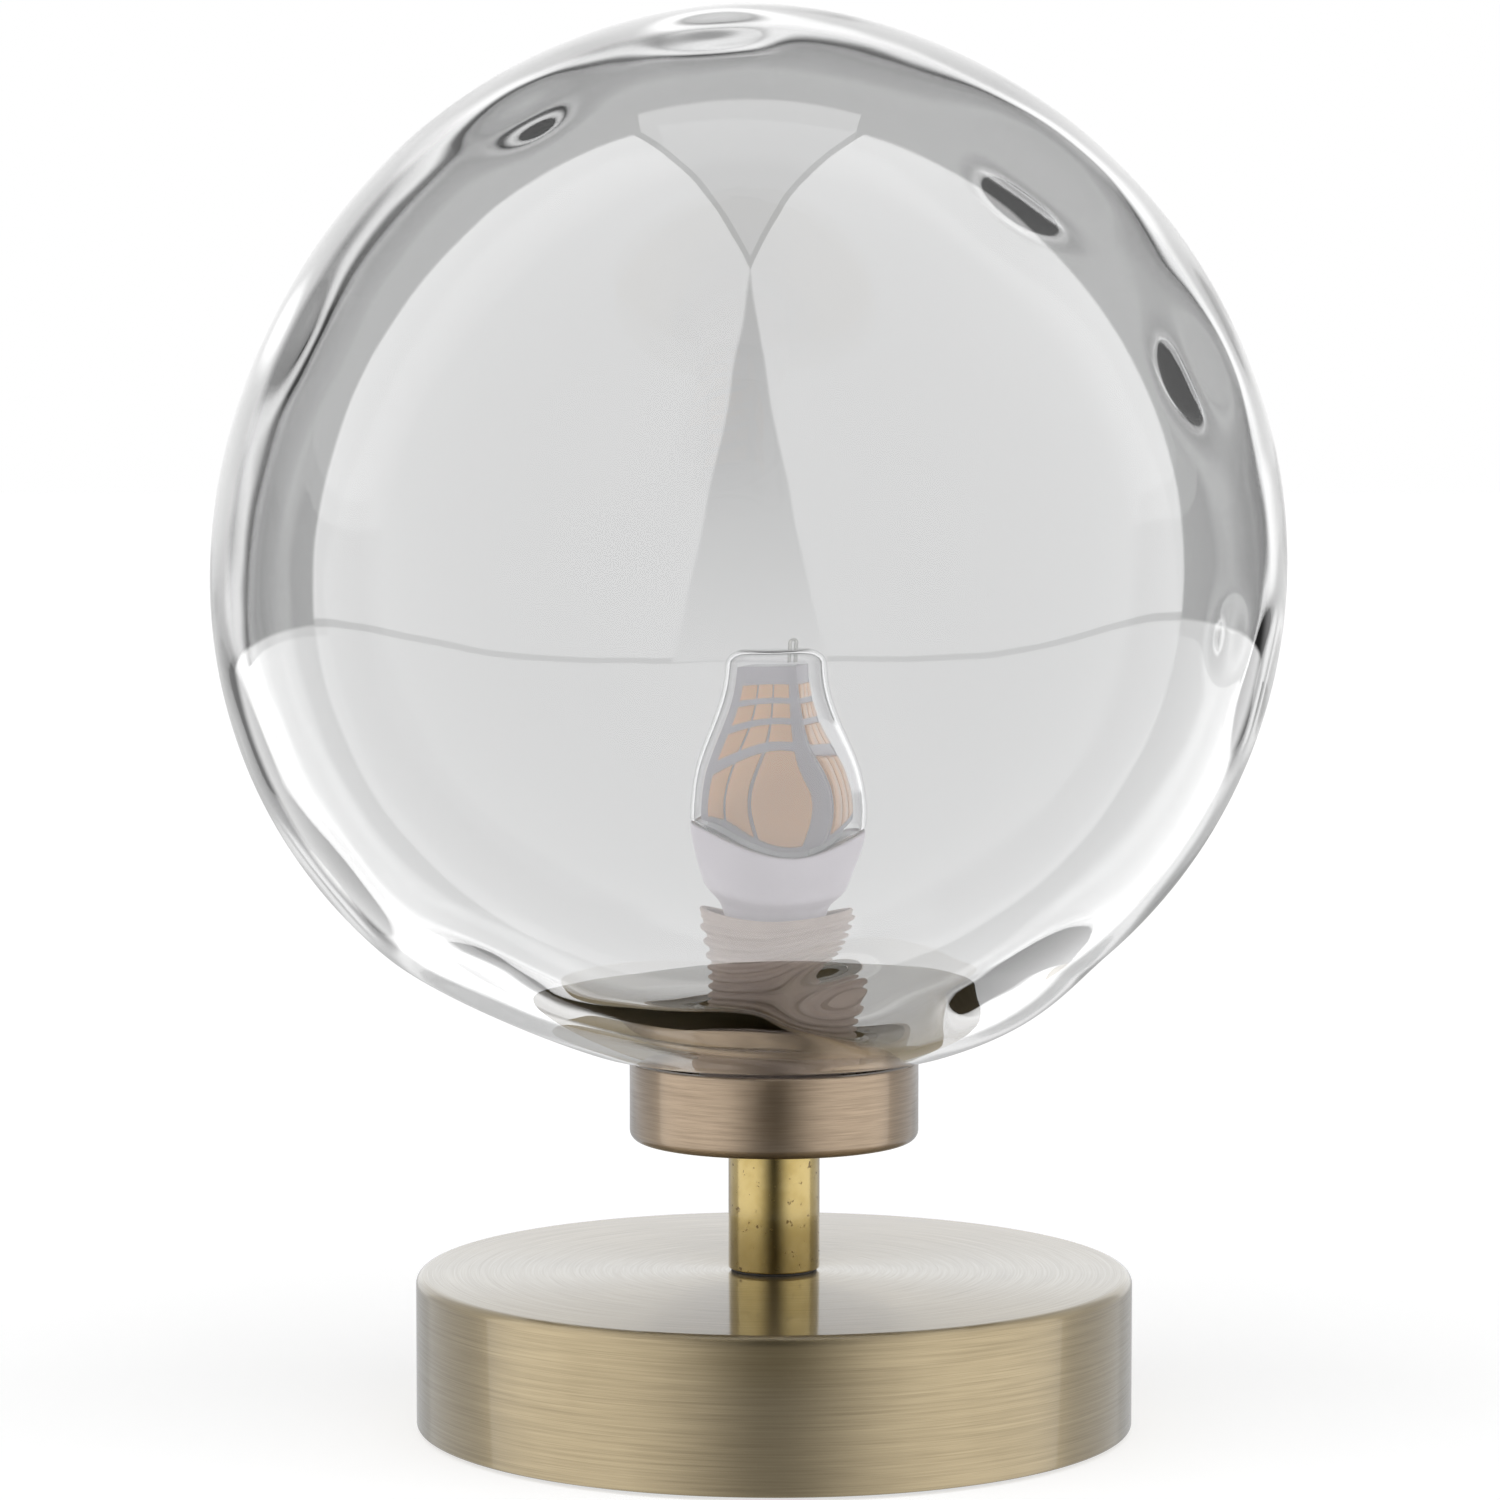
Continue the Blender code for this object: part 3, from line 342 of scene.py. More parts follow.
def rounded(points, radius, steps=6):
    """The closed outline with each corner rounded, by less where its sides are short."""
    result = []
    count = len(points)
    for i in range(count):
        corner = Vector(points[i])
        before = Vector(points[i - 1]) - corner
        after = Vector(points[(i + 1) % count]) - corner
        reach = min(radius, before.length * 0.45, after.length * 0.45)
        start = corner + before.normalized() * reach
        end = corner + after.normalized() * reach
        for step in range(steps + 1):
            t = step / steps
            point = (1 - t) ** 2 * start + 2 * t * (1 - t) * corner + t * t * end
            result.append((point.x, point.y))
    return result


def add_piece(name, mesh, material, body, slot, *nodes, smooth_angle=35.0):
    """Link a finished piece, give it its look and hide the CAD nodes it stands for."""
    mesh.materials.clear()
    mesh.materials.append(material)
    mesh.shade_smooth()
    mesh.set_sharp_from_angle(angle=math.radians(smooth_angle))
    piece = bpy.data.objects.new(name, mesh)
    bpy.context.scene.collection.objects.link(piece)
    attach(piece, body)
    if nodes:
        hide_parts(*nodes)
    return piece


def turned_mesh(name, outline, segments=FINE, shift=None):
    """Spin a closed outline of (radius, height) about the Z axis. shift then moves the points."""
    outline = np.array(outline)
    count = len(outline)
    angles = np.linspace(0, 2 * math.pi, segments, endpoint=False)
    radius = outline[:, 0][None, :]
    points = np.stack([np.cos(angles)[:, None] * radius, np.sin(angles)[:, None] * radius,
                       np.broadcast_to(outline[:, 1], (segments, count))], axis=-1)
    if shift is not None:
        points = shift(points)
    faces = []
    for i in range(segments):
        j = (i + 1) % segments
        for k in range(count):
            m = (k + 1) % count
            faces.append((i * count + k, i * count + m, j * count + m, j * count + k))
    mesh = bpy.data.meshes.new(name)
    mesh.from_pydata(points.reshape(-1, 3).tolist(), [], faces)
    shape = bmesh.new()
    shape.from_mesh(mesh)
    bmesh.ops.remove_doubles(shape, verts=shape.verts, dist=MERGE)
    bmesh.ops.dissolve_degenerate(shape, dist=MERGE, edges=shape.edges)
    bmesh.ops.recalc_face_normals(shape, faces=shape.faces)
    shape.to_mesh(mesh)
    shape.free()
    return mesh


# ---------------------------------------------------------------- metal pieces

INLET_RADIUS = 5 * MM
INLET_DEPTH = 12 * MM


def cut_hole(piece, radius, depth, place):
    """Cut a round hole through a piece, and keep the result as its mesh."""
    mesh = bpy.data.meshes.new("hole_cutter")
    shape = bmesh.new()
    bmesh.ops.create_cone(shape, cap_ends=True, segments=HOLE_ROUND, radius1=radius, radius2=radius,
                          depth=depth, matrix=place)
    shape.to_mesh(mesh)
    shape.free()
    cutter = bpy.data.objects.new("hole_cutter", mesh)
    bpy.context.scene.collection.objects.link(cutter)
    cut = piece.modifiers.new("hole", "BOOLEAN")
    cut.object = cutter
    bpy.context.view_layer.update()
    evaluated = piece.evaluated_get(bpy.context.evaluated_depsgraph_get())
    finished = bpy.data.meshes.new_from_object(evaluated)
    piece.modifiers.clear()
    piece.data = finished
    bpy.data.objects.remove(cutter)


def make_base(looks):
    """The base's drum, open below, with the hole for the grommet in its rear wall."""
    radius = outer_radius("base_shell")
    top = high("base_shell").z
    bottom = low("base_shell").z
    wall = 1.5 * MM
    edge = 1.4 * MM
    hem = 0.4 * MM
    inner = radius - wall
    outline = [(ROD_HOLE, top), *arc(radius - edge, top - edge, edge, 90, 0, 10),
               *arc(radius - hem, bottom + hem, hem, 0, -90, 4), (inner, bottom),
               (inner, top - wall), (ROD_HOLE, top - wall)]
    mesh = turned_mesh("base_drum", outline)
    drum = add_piece("base_drum", mesh, looks["brushed_brass"], "stand", "brushed_brass", "base_shell")
    grommet = (low("cable_grommet") + high("cable_grommet")) / 2
    rearwards = Matrix.Rotation(math.radians(90), 4, "X")
    cut_hole(drum, INLET_RADIUS, INLET_DEPTH, Matrix.Translation((0, grommet.y, grommet.z)) @ rearwards)


def make_stem(looks):
    """The stem and the thin near-black ring under it, pressed down on the base's top. The ring is a washer,
    and its black also paints the shade line where the stem meets the base.
    """
    ring_thickness = 0.4 * MM
    base_top = high("base_shell").z
    ring_top = base_top + ring_thickness
    for name, node, bottom, top, edge, slot in (
            ("stem", "stem_tube", ring_top, high("stem_tube").z, 0.25 * MM, "stem_brass"),
            # The near-black washer also paints the shade line where the stem meets the base
            ("stem_washer_and_shade_line", "stem_foot_ring", base_top, ring_top, 0.1 * MM, "dark_gasket")):
        radius = outer_radius(node)
        outline = rounded([(ROD_HOLE, top), (radius, top), (radius, bottom), (ROD_HOLE, bottom)], edge, 4)
        mesh = turned_mesh(name, outline, SMALL)
        add_piece(name, mesh, looks[slot], "stand", slot, node)


def make_cup(looks):
    radius = outer_radius("gallery_cup")
    top = high("gallery_cup").z
    bottom = low("gallery_cup").z
    wall = 1.2 * MM
    edge = 1.5 * MM
    lip = 0.3 * MM
    fillet = 0.8 * MM
    outline = [*arc(radius - lip, top - lip, lip, 90, 0, 3),
               *arc(radius - edge, bottom + edge, edge, 0, -90, 10), (ROD_HOLE, bottom),
               (ROD_HOLE, bottom + wall),
               *arc(radius - wall - fillet, bottom + wall + fillet, fillet, -90, 0, 5), (radius - wall, top)]
    mesh = turned_mesh("cup", outline)
    add_piece("cup", mesh, looks["cup_brass"], "stand", "brushed_brass", "gallery_cup")


def make_felt(looks):
    radius = outer_radius("felt_pad")
    top = high("felt_pad").z
    outline = [(0, top), (radius - 0.1 * MM, top), (radius, top / 2), (radius - 0.2 * MM, 0), (0, 0)]
    mesh = turned_mesh("felt_disc", outline, SMALL)
    add_piece("felt_disc", mesh, looks["felt"], "stand", "felt", "felt_pad")


def make_grommet(looks):
    """The rubber grommet in the rear wall, turned about its own axis along +Y."""
    back = high("cable_grommet").y
    front = low("cable_grommet").y
    centre_z = (low("cable_grommet").z + high("cable_grommet").z) / 2
    flange = (high("cable_grommet").z - low("cable_grommet").z) / 2
    bore = 3.6 * MM
    sleeve = 4.7 * MM
    outer_seat = outer_radius("base_shell") + GAP
    inner_flange = 5.6 * MM
    inner_seat = front + 1.4 * MM
    corners = [(bore, back), (flange, back), (flange, outer_seat), (sleeve, outer_seat),
               (sleeve, inner_seat), (inner_flange, inner_seat), (inner_flange, front), (bore, front)]
    outline = rounded(corners, 0.5 * MM, 4)
    mesh = turned_mesh("cord_grommet", outline, HOLE_ROUND)
    mesh.transform(Matrix.Translation((0, 0, centre_z)) @ Matrix.Rotation(math.radians(-90), 4, "X"))
    add_piece("cord_grommet", mesh, looks["black_rubber"], "stand", "black_rubber", "cable_grommet")


# ---------------------------------------------------------------- lamp holder

THREAD_PITCH = 2.5 * MM
THREAD_STEP = THREAD_PITCH / 12
THREAD_CREST = 10.6 * MM
THREAD_ROOT = 9.95 * MM
THREAD_FADE = 0.8 * MM

# The ridge's section over one pitch: a flat crest, cut off from a taller triangle of this height and slope
CREST_HEIGHT = 1.6
FLANK_SLOPE = 4.4


def cut_thread(points, bottom, top):
    """Push the points of the holder's side out to a helical ridge that fades at both ends."""
    x, y, z = points[..., 0], points[..., 1], points[..., 2]
    radius = np.hypot(x, y)
    on_side = np.abs(radius - THREAD_ROOT) < ON_SURFACE
    on_thread = on_side & (z < top + THREAD_STEP / 2) & (z > bottom - THREAD_STEP)
    phase = (z / THREAD_PITCH - np.arctan2(y, x) / (2 * math.pi)) % 1.0
    profile = np.clip(CREST_HEIGHT - np.abs(phase - 0.5) * FLANK_SLOPE, 0, 1)
    fade = np.clip((top - z) / THREAD_FADE, 0, 1) * np.clip((z - bottom) / THREAD_FADE, 0, 1)
    ridge = THREAD_ROOT + (THREAD_CREST - THREAD_ROOT) * profile * fade
    scale = np.where(on_thread, ridge, radius) / radius
    return np.stack([x * scale, y * scale, z], axis=-1)


def make_holder(looks):
    """The holder's sleeve, with a flange below, a floor on the rod and a helical thread outside."""
    top = high("holder_sleeve").z
    bottom = low("holder_sleeve").z
    flange = outer_radius("holder_sleeve")
    flange_top = bottom + 1.4 * MM
    bore = 9.2 * MM
    lower_bore = 8.6 * MM
    rim = 0.3 * MM
    floor = bottom + 4.7 * MM
    floor_top = floor + 1.7 * MM
    ledge = low("holder_insert").z - GAP
    thread_bottom = flange_top + 1.2 * MM
    thread_top = top - 1.2 * MM
    side = [(THREAD_ROOT, z) for z in np.arange(thread_top, thread_bottom, -THREAD_STEP)]
    outline = [(bore + rim, top), (THREAD_ROOT - rim, top), (THREAD_ROOT, top - 0.4 * MM), *side,
               (THREAD_ROOT, flange_top), (flange, flange_top), (flange, bottom), (lower_bore, bottom),
               (lower_bore, floor), (ROD_HOLE, floor), (ROD_HOLE, floor_top), (lower_bore, floor_top),
               (lower_bore, ledge), (bore, ledge), (bore, top - rim)]
    mesh = turned_mesh("holder", outline, HOLDER_ROUND,
                       lambda points: cut_thread(points, thread_bottom, thread_top))
    add_piece("holder", mesh, looks["holder_beige"], "stand", "holder_beige", "holder_sleeve",
              smooth_angle=30)


# ---------------------------------------------------------------- bulb

def make_bulb_body(looks):
    """The bulb's pale body: a narrow foot and a round upper part, hollow above its floor."""
    top = high("bulb_base").z
    bottom = low("bulb_base").z
    radius = outer_radius("bulb_base")
    foot = 6.6 * MM
    foot_top = bottom + 6.1 * MM
    shoulder = bottom + 7.9 * MM
    floor_top = bottom + 1.8 * MM
    foot_bore = 5.6 * MM
    bore = 7.1 * MM
    corners = [(bore, top), (radius, top), (radius, shoulder), (foot, foot_top), (foot, bottom),
               (0, bottom), (0, floor_top), (foot_bore, floor_top), (foot_bore, shoulder),
               (bore, shoulder + 1.2 * MM)]
    outline = rounded(corners, 0.8 * MM)
    mesh = turned_mesh("bulb_body", [(max(r, 0.0), z) for r, z in outline], SMALL)
    add_piece("bulb_body", mesh, looks["bulb_ceramic"], "bulb", "bulb_ceramic", "bulb_base")


def make_bulb_dome(looks):
    """The bulb's clear cover: a tube with a rounded, nearly flat top."""
    radius = outer_radius("bulb_base")
    bottom = low("bulb_cover").z
    top = high("bulb_cover").z
    wall = 0.8 * MM
    edge = 3.0 * MM
    outside = arc(radius - edge, top - edge, edge, 90, 0, 12)
    inside = arc(radius - edge, top - edge, edge - wall, 0, 90, 12)
    outline = [(0, top), *outside, (radius, bottom), (radius - wall, bottom), *inside, (0, top - wall)]
    mesh = turned_mesh("bulb_dome", outline, SMALL)
    add_piece("bulb_dome", mesh, looks["bulb_clear"], "bulb", "bulb_clear", "bulb_cover")


def rounded_box(shape, size, centre, bevel, turn):
    """Add a box with bevelled edges to the bmesh, and turn it about the lamp's axis."""
    verts = bmesh.ops.create_cube(shape, size=1.0)["verts"]
    bmesh.ops.scale(shape, vec=size, verts=verts)
    edges = list({edge for vert in verts for edge in vert.link_edges})
    result = bmesh.ops.bevel(shape, geom=edges, offset=bevel, segments=2, profile=0.5, affect="EDGES")
    bevelled = {vert for face in result["faces"] for vert in face.verts}
    verts = list(bevelled | {vert for vert in verts if vert.is_valid})
    bmesh.ops.transform(shape, matrix=turn @ Matrix.Translation(centre), verts=verts)


# The LED boards: chips in rows and columns on each, and the distance of the boards' faces from the axis
BOARD_THICKNESS = 0.6 * MM
BOARD_WIDTHS = (9.8 * MM, 8.0 * MM)
BOARD_FACE = 4.9 * MM
BOARD_TURN = -14.0
CHIP_SIZE = (2.3 * MM, 0.3 * MM, 3.1 * MM)
CHIP_STANDS_OUT = 0.11 * MM
CHIP_PITCH_X = 2.6 * MM
CHIP_PITCH_Z = 4.4 * MM
CHIP_FIRST_Z = 88.4 * MM
CHIP_ROWS = 4
CHIP_COLUMNS = (-1, 0, 1)


def boxes_mesh(name, size, centres, bevel, turn):
    """One mesh of equal bevelled boxes."""
    shape = bmesh.new()
    for centre in centres:
        rounded_box(shape, size, centre, bevel, turn)
    mesh = bpy.data.meshes.new(name)
    shape.to_mesh(mesh)
    shape.free()
    return mesh


def make_led_boards(looks):
    """Each board becomes a thin bevelled plate, and its LED chips are a piece of their own."""
    chip_centres = [(column * CHIP_PITCH_X, -BOARD_FACE - CHIP_STANDS_OUT, CHIP_FIRST_Z + row * CHIP_PITCH_Z)
                    for row in range(CHIP_ROWS) for column in CHIP_COLUMNS]
    for i in range(4):
        node = f"led_panel_{i + 1}"
        bottom = low(node).z
        top = high(node).z
        turn = Matrix.Rotation(math.radians(BOARD_TURN + 90 * i), 4, "Z")
        plate_size = (BOARD_WIDTHS[i % 2], BOARD_THICKNESS, top - bottom)
        plate_centre = (0, -BOARD_FACE + BOARD_THICKNESS / 2, (top + bottom) / 2)
        plate = boxes_mesh(f"led_plate_{i + 1}", plate_size, [plate_centre], 0.08 * MM, turn)
        add_piece(f"led_plate_{i + 1}", plate, looks["led_board"], "bulb", "led_board", node)
        chips = boxes_mesh(f"led_chips_{i + 1}", CHIP_SIZE, chip_centres, 0.09 * MM, turn)
        add_piece(f"led_chips_{i + 1}", chips, looks["led_phosphor"], "bulb", "led_board")


# ---------------------------------------------------------------- globe

NECK_OUTER = 14.5 * MM
NECK_BORE = 11.4 * MM
NECK_FILLET = 0.4 * MM
GLOBE_FULLNESS = 0.019
GLOBE_OFFSET = 3.5 * MM
OFFSET_START = 54.5 * MM
OFFSET_END = 68.0 * MM

# Angles from straight down between which the neck's even wall becomes the globe's uneven one
NECK_ANGLE = 11.3
NECK_BLEND = 9.0

# The wall: its thickness low down, what the upper part adds, and what the left gains and the right loses
WALL = 3.8 * MM
WALL_ADDED_UP = 1.4 * MM
WALL_ADDED_LEFT = 0.6 * MM
EVEN_WALL = 3.2 * MM

# Shallow dimples all over, save in a window in front of the bulb, given by azimuth and elevation
DIMPLES = 64
DIMPLE_SIZE = 11.0
DIMPLE_DEPTH = 0.17 * MM
BULB_WINDOW = (3.0, -27.0)
WINDOW_SIZE = 26

# Single lenses in the glass: azimuth, elevation and size in degrees, and height in millimetres
LENSES = (
    # In front of the bulb
    (4.5, -26.5, 9.5, 2.0),
    (2.0, -11.0, 6.0, -0.30),
    (3.0, -47.0, 8.0, -0.4),
    # Round the neck
    (-4.0, -66.0, 9.0, 1.0),
    (-28.0, -62.0, 8.0, 0.9),
    # The dome at the lower right
    (14.0, -50.0, 6.0, 0.9),
    # Right side, from the top down
    (46.0, 43.0, 9.0, 1.6),
    (60.0, 19.0, 6.5, 1.1),
    (61.0, -9.0, 4.0, 0.45),
    (76.0, -14.0, 6.0, 0.8),
    (56.0, -52.0, 8.0, 1.2),
    # Left side, from the top down
    (-14.0, 75.0, 6.0, 0.6),
    (-44.0, 54.0, 6.0, 0.6),
    (-72.0, 24.0, 7.0, 0.5),
    (-79.0, -20.0, 8.0, 0.6),
    (-73.0, -38.0, 8.0, 1.0),
    (-50.0, -54.0, 9.0, 1.2),
)

# How far the outside departs from the even outline, given in the same way
OUTER_LUMPS = (
    (-80.0, -30.0, 30.0, 0.9),
    (-80.0, 25.0, 25.0, -0.7),
)


def direction(azimuth, elevation):
    """A unit vector from the globe's centre. Azimuth 0 is the front, and it grows to the right."""
    a = math.radians(azimuth)
    e = math.radians(elevation)
    return np.array([math.sin(a) * math.cos(e), -math.cos(a) * math.cos(e), math.sin(e)])


def spread_directions(count):
    """Directions spread evenly over the sphere on a spiral."""
    index = np.arange(count) + 0.5
    z = 1 - 2 * index / count
    turn = math.pi * (1 + 5 ** 0.5) * index
    ring = np.sqrt(1 - z * z)
    return np.stack([ring * np.cos(turn), ring * np.sin(turn), z], axis=-1)


def degrees_from(directions, centre):
    """The angle between each direction and the centre's."""
    return np.degrees(np.arccos(np.clip(directions @ centre, -1, 1)))


def ease(share):
    """A soft step from 0 to 1."""
    share = np.clip(share, 0, 1)
    return share * share * (3 - 2 * share)


def lens_sum(directions, lenses):
    """The added heights of round bumps, each given by azimuth, elevation, size and height."""
    total = np.zeros(directions.shape[:-1])
    for azimuth, elevation, size, height in lenses:
        angle = degrees_from(directions, direction(azimuth, elevation))
        total += height * MM * np.exp(-(angle / size) ** 2)
    return total


def glass_thickness(directions):
    """Wall thickness along each direction: an uneven wall, shallow dimples all over, and single lenses."""
    upwards = ease(directions[..., 2] + 0.3)
    thickness = WALL + WALL_ADDED_UP * upwards - WALL_ADDED_LEFT * directions[..., 0]
    for centre in spread_directions(DIMPLES):
        if centre @ direction(*BULB_WINDOW) > math.cos(math.radians(WINDOW_SIZE)):
            continue
        thickness -= DIMPLE_DEPTH * np.exp(-(degrees_from(directions, centre) / DIMPLE_SIZE) ** 2)
    return thickness + lens_sum(directions, LENSES)


def shape_glass(points, even_inside):
    """Move the points of an even globe to its true outline outside and its uneven surface inside."""
    centre = np.array([0, 0, GLOBE_CENTRE])
    offset = points - centre
    distance = np.linalg.norm(offset, axis=-1)
    directions = offset / distance[..., None]
    elevation = np.arcsin(np.clip(directions[..., 2], -1, 1))
    outer = GLOBE_RADIUS * (1 - GLOBE_FULLNESS * np.sin(2 * elevation)) + lens_sum(directions, OUTER_LUMPS)
    inner = outer - glass_thickness(directions)
    on_outside = np.abs(distance - GLOBE_RADIUS) < ON_SURFACE
    on_inside = np.abs(distance - even_inside) < ON_SURFACE
    wanted = np.where(on_outside, outer, np.where(on_inside, inner, distance))
    from_neck = degrees_from(directions, np.array([0.0, 0.0, -1.0]))
    share = ease((from_neck - NECK_ANGLE) / NECK_BLEND)
    shaped = centre + directions * (distance + (wanted - distance) * share)[..., None]
    shaped[..., 0] -= GLOBE_OFFSET * ease((shaped[..., 2] - OFFSET_START) / (OFFSET_END - OFFSET_START))
    return shaped


def make_globe(looks):
    """The globe: fuller below its middle, off its neck's centre, smooth outside and uneven inside."""
    def edge_angle(ball_radius, ring_radius):
        return -math.degrees(math.acos(ring_radius / ball_radius))

    inside_radius = GLOBE_RADIUS - EVEN_WALL
    outside = arc(0, GLOBE_CENTRE, GLOBE_RADIUS, 90, edge_angle(GLOBE_RADIUS, NECK_OUTER), 200)
    inside_start = edge_angle(inside_radius, NECK_BORE + NECK_FILLET)
    inside = arc(0, GLOBE_CENTRE, inside_radius, inside_start, 90, 220)
    half_lip = (NECK_OUTER - NECK_BORE) / 2
    lip = arc((NECK_OUTER + NECK_BORE) / 2, NECK_BOTTOM + half_lip, half_lip, 0, -180, 12)
    outside[0] = (0, GLOBE_TOP)
    inside[-1] = (0, GLOBE_CENTRE + inside_radius)
    mesh = turned_mesh("glass_globe", [*outside, *lip, *inside], GLASS_ROUND,
                       lambda points: shape_glass(points, inside_radius))
    add_piece("glass_globe", mesh, looks["clear_glass"], "globe", "clear_glass", "globe", smooth_angle=50)


# ---------------------------------------------------------------- carried-over nodes

def dress_cad_nodes(looks):
    """Give every CAD node that stays in view the material of its slot."""
    slots = {part["node"]: part["material_slot"] for part in frame["record"]["subparts"]}
    for name, node in frame["nodes"].items():
        node.data.materials.clear()
        node.data.materials.append(looks[slots[name]])
        node.data.shade_smooth()
        node.data.set_sharp_from_angle(angle=math.radians(35))


# ---------------------------------------------------------------- studio

# Edges of the backdrop and of what is in front, as angles from straight back, in degrees. Seen through the
# glass, the backdrop is pale outside one angle and darker inside the other
BACKDROP_EDGE = 36
BACKDROP_PALE = 30
BACKDROP_DARK = 22
FRONT_EDGE = 77

# Places and widths below are parts of a direction whose length is 1. First, half the width of the soft edge
# of the backdrop and of what is in front
BACKDROP_SOFT = 0.03
FRONT_SOFT = 0.012

# The top panel's lower edge, and the half width and the reach of the strip of it that lies further back
TOP_START = 0.80
TOP_END = 0.84
TOP_HALF_WIDTH = 0.25
TOP_REACH = 0.10

# The seams beside the top panel: how far in front they would meet, their slope, and half their width
SEAM_MEETS = 0.43
SEAM_SLOPE = 0.40
SEAM_HALF_WIDTH = 0.012
SEAM_HALF_CORE = 0.007

# The gap between the side panels: the height where its sides would meet, and how fast it widens downwards,
# up to this share of its distance in front
GAP_MEETS = 0.87
GAP_SLOPE = 0.225
GAP_FRONT_SLOPE = -0.30

# The table's far edge, at the sides and straight in front, and half the width of its dark line
TABLE_AT_SIDES = -0.13
TABLE_IN_FRONT = -0.31
LINE_HALF_WIDTH = 0.014
LINE_HALF_CORE = 0.006

# Light of the panels, the table, the dark line at its far edge, and the rest of the room
SIDE_PANELS = 1.55
TOP_PANEL = 0.72
TABLE = 1.5
TABLE_EDGE = 0.1
ROOM = 0.03
ROOM_BELOW = 1.2

# Glass reflects a brighter studio, and shows a more even one behind it
GLASS_FRONT = 3.1
GLASS_ROOM = 2.5
SEEN_THROUGH = 0.62
SEEN_THROUGH_MOST = 0.95

# Brushed metal reflects a brighter room
METAL_ROOM = 0.75


def panel_light(nodes, y, side, high_up):
    """Two side panels, and a dimmer top panel between two dark seams."""
    seam_line = nodes.math("MULTIPLY", nodes.math("ADD", y, SEAM_MEETS), SEAM_SLOPE)
    from_seam = nodes.math("SUBTRACT", side, seam_line)
    seam = nodes.smooth(nodes.math("ABSOLUTE", from_seam), SEAM_HALF_WIDTH, SEAM_HALF_CORE)
    top_panel = nodes.math("MULTIPLY", nodes.smooth(from_seam, 0.006, -0.006), high_up)
    panels = nodes.blend(top_panel, SIDE_PANELS, TOP_PANEL)
    return nodes.blend(nodes.math("MULTIPLY", seam, high_up), panels, 0.0)


def front_light(nodes, y, z, side, panels, from_table, below):
    """The panels with the gap between them, above the white table with a thin dark line at its far edge."""
    line = nodes.smooth(nodes.math("ABSOLUTE", from_table), LINE_HALF_WIDTH, LINE_HALF_CORE)
    front = nodes.blend(below, panels, TABLE)
    front = nodes.blend(nodes.math("MULTIPLY", line, 0.6), front, TABLE_EDGE)
    # The gap widens downwards from the top panel, and its foot is brighter
    gap_half = nodes.math("MULTIPLY", nodes.math("SUBTRACT", GAP_MEETS, z), GAP_SLOPE)
    gap_half = nodes.math("MINIMUM", gap_half, nodes.math("MULTIPLY", y, GAP_FRONT_SLOPE))
    gap = nodes.smooth(nodes.math("SUBTRACT", side, gap_half), 0.012, -0.004)
    gap_light = nodes.smooth(z, TOP_START, -0.60, 0.05, 1.5)
    return nodes.blend(nodes.math("MULTIPLY", gap, nodes.math("SUBTRACT", 1.0, below)), front, gap_light)


def backdrop_light(nodes, y, z, on_transmission):
    """The pale backdrop, darker in its middle where it's seen through the glass."""
    pale = math.cos(math.radians(BACKDROP_PALE))
    dark = math.cos(math.radians(BACKDROP_DARK))
    through_glass = nodes.smooth(y, pale, dark, 1.10, 0.52)
    reflected = nodes.smooth(z, -0.15, 0.05, 0.55, 1.15)
    return nodes.blend(on_transmission, reflected, through_glass)


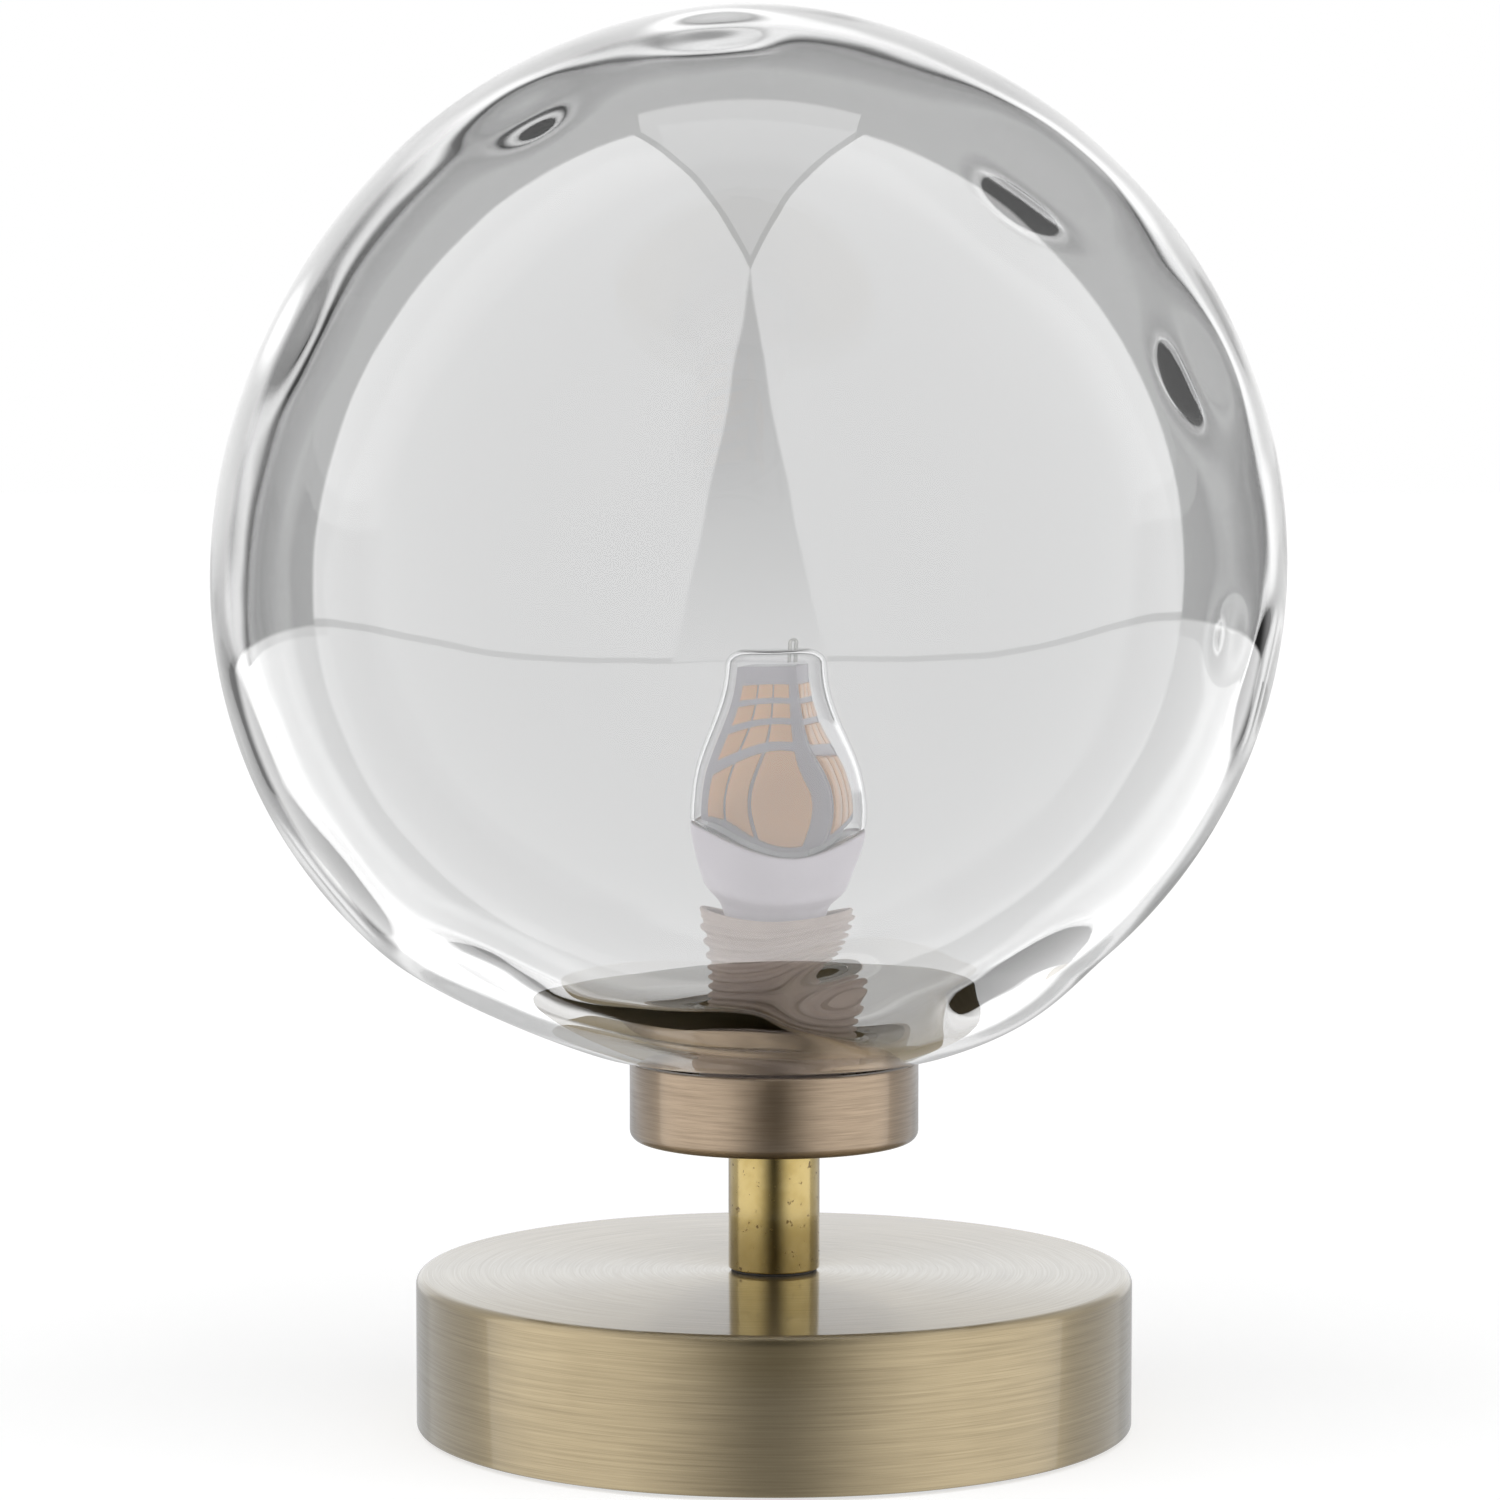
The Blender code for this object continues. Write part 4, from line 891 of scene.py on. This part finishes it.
def make_world():
    """Large side panels and a top panel round the camera, dark beyond them, and a pale backdrop behind."""
    world = bpy.data.worlds.new("studio")
    bpy.context.scene.world = world
    world.use_nodes = True
    tree = world.node_tree
    tree.nodes.clear()
    nodes = Nodes(tree)
    x, y, z = nodes.split(nodes.add("ShaderNodeTexCoord").outputs["Generated"])
    side = nodes.math("ABSOLUTE", x)
    high_up = nodes.smooth(z, TOP_START, TOP_END)
    backdrop_edge = math.cos(math.radians(BACKDROP_EDGE))
    front_edge = math.cos(math.radians(FRONT_EDGE))
    behind = nodes.smooth(y, backdrop_edge - BACKDROP_SOFT, backdrop_edge + BACKDROP_SOFT)
    # The top panel reaches further back than the side panels
    near_middle = nodes.smooth(side, TOP_HALF_WIDTH + 0.005, TOP_HALF_WIDTH - 0.005)
    over_top = nodes.math("MULTIPLY", near_middle, high_up)
    past_edge = nodes.math("SUBTRACT", y, nodes.math("MULTIPLY", over_top, TOP_REACH))
    in_front = nodes.smooth(past_edge, front_edge + FRONT_SOFT, front_edge - FRONT_SOFT)

    table_edge = nodes.blend(nodes.smooth(y, 0.25, -0.95), TABLE_AT_SIDES, TABLE_IN_FRONT)
    from_table = nodes.math("SUBTRACT", z, table_edge)
    below = nodes.smooth(from_table, 0.0, -0.01)
    panels = panel_light(nodes, y, side, high_up)
    front = front_light(nodes, y, z, side, panels, from_table, below)
    around = nodes.blend(below, ROOM, ROOM_BELOW)

    path = nodes.add("ShaderNodeLightPath")
    on_transmission = path.outputs["Is Transmission Ray"]
    on_glossy = path.outputs["Is Glossy Ray"]
    on_glass = nodes.math("MULTIPLY", on_glossy, path.outputs["Is Singular Ray"])
    front = nodes.math("MULTIPLY", front, nodes.blend(on_glass, 1.0, GLASS_FRONT))
    around = nodes.math("MULTIPLY", around, nodes.blend(on_glass, 1.0, GLASS_ROOM))

    scattered = nodes.math("MINIMUM", path.outputs["Diffuse Depth"], 1.0)
    looking_through = nodes.math("MULTIPLY", on_transmission, nodes.math("SUBTRACT", 1.0, scattered))
    front = nodes.blend(looking_through, front, SEEN_THROUGH)
    around = nodes.blend(looking_through, around, nodes.math("MINIMUM", around, SEEN_THROUGH_MOST))

    # Brushed metal sees a wider and softer gap
    on_metal = nodes.math("SUBTRACT", on_glossy, on_glass)
    gap_floor = nodes.smooth(z, -0.14, -0.24, 0.03, 0.35)
    soft_front = nodes.math("MULTIPLY", panels, nodes.smooth(side, 0.02, 0.80, gap_floor, 1.0))
    front = nodes.blend(on_metal, front, soft_front)
    around = nodes.blend(on_metal, around, METAL_ROOM)

    light = nodes.blend(in_front, around, front)
    light = nodes.blend(behind, light, backdrop_light(nodes, y, z, on_transmission))
    background = nodes.add("ShaderNodeBackground")
    background.inputs["Color"].default_value = grey(1.0)
    nodes.put(background.inputs["Strength"], nodes.blend(path.outputs["Is Camera Ray"], light, 1.0))
    output = nodes.add("ShaderNodeOutputWorld")
    tree.links.new(background.outputs[0], output.inputs[0])


FLOOR_GLOW = 0.62


def make_floor():
    """A plain pale floor, left out of reflections and of the view through glass, where the world shows."""
    mesh = bpy.data.meshes.new("floor")
    shape = bmesh.new()
    bmesh.ops.create_grid(shape, x_segments=8, y_segments=8, size=6.0)
    shape.to_mesh(mesh)
    shape.free()
    material, nodes, shader = new_material("pale_floor")
    cloud = nodes.noise(nodes.place(), 3.0, 2.0, 0.5)
    nodes.put(shader.inputs["Base Color"], nodes.mix(cloud, grey(0.44), grey(0.46)))
    shader.inputs["Roughness"].default_value = 0.9
    shader.inputs["Specular IOR Level"].default_value = 0.0
    shader.inputs["Emission Color"].default_value = grey(1.0)
    shader.inputs["Emission Strength"].default_value = FLOOR_GLOW
    mesh.materials.append(material)
    floor = bpy.data.objects.new("floor", mesh)
    bpy.context.scene.collection.objects.link(floor)
    floor.visible_glossy = False
    floor.visible_transmission = False


def make_camera():
    camera = bpy.data.objects.new("camera", bpy.data.cameras.new("camera"))
    bpy.context.scene.collection.objects.link(camera)
    camera.location = (CAMERA_X, -CAMERA_DISTANCE, CAMERA_HEIGHT)
    aim = Vector((CAMERA_X, 0, CAMERA_AIM_Z)) - camera.location
    camera.rotation_mode = "QUATERNION"
    camera.rotation_quaternion = aim.to_track_quat("-Z", "Y")
    camera.data.lens = CAMERA_LENS
    camera.data.sensor_width = SENSOR_WIDTH
    camera.data.clip_start = 0.01
    camera.data.clip_end = 50.0
    bpy.context.scene.camera = camera


# ---------------------------------------------------------------- the scene

make_camera()
make_world()
make_floor()
bpy.context.scene.view_settings.view_transform = "Standard"
LOOKS = make_materials()
dress_cad_nodes(LOOKS)
make_base(LOOKS)
make_felt(LOOKS)
make_grommet(LOOKS)
make_stem(LOOKS)
make_cup(LOOKS)
make_holder(LOOKS)
make_bulb_body(LOOKS)
make_bulb_dome(LOOKS)
make_led_boards(LOOKS)
make_globe(LOOKS)
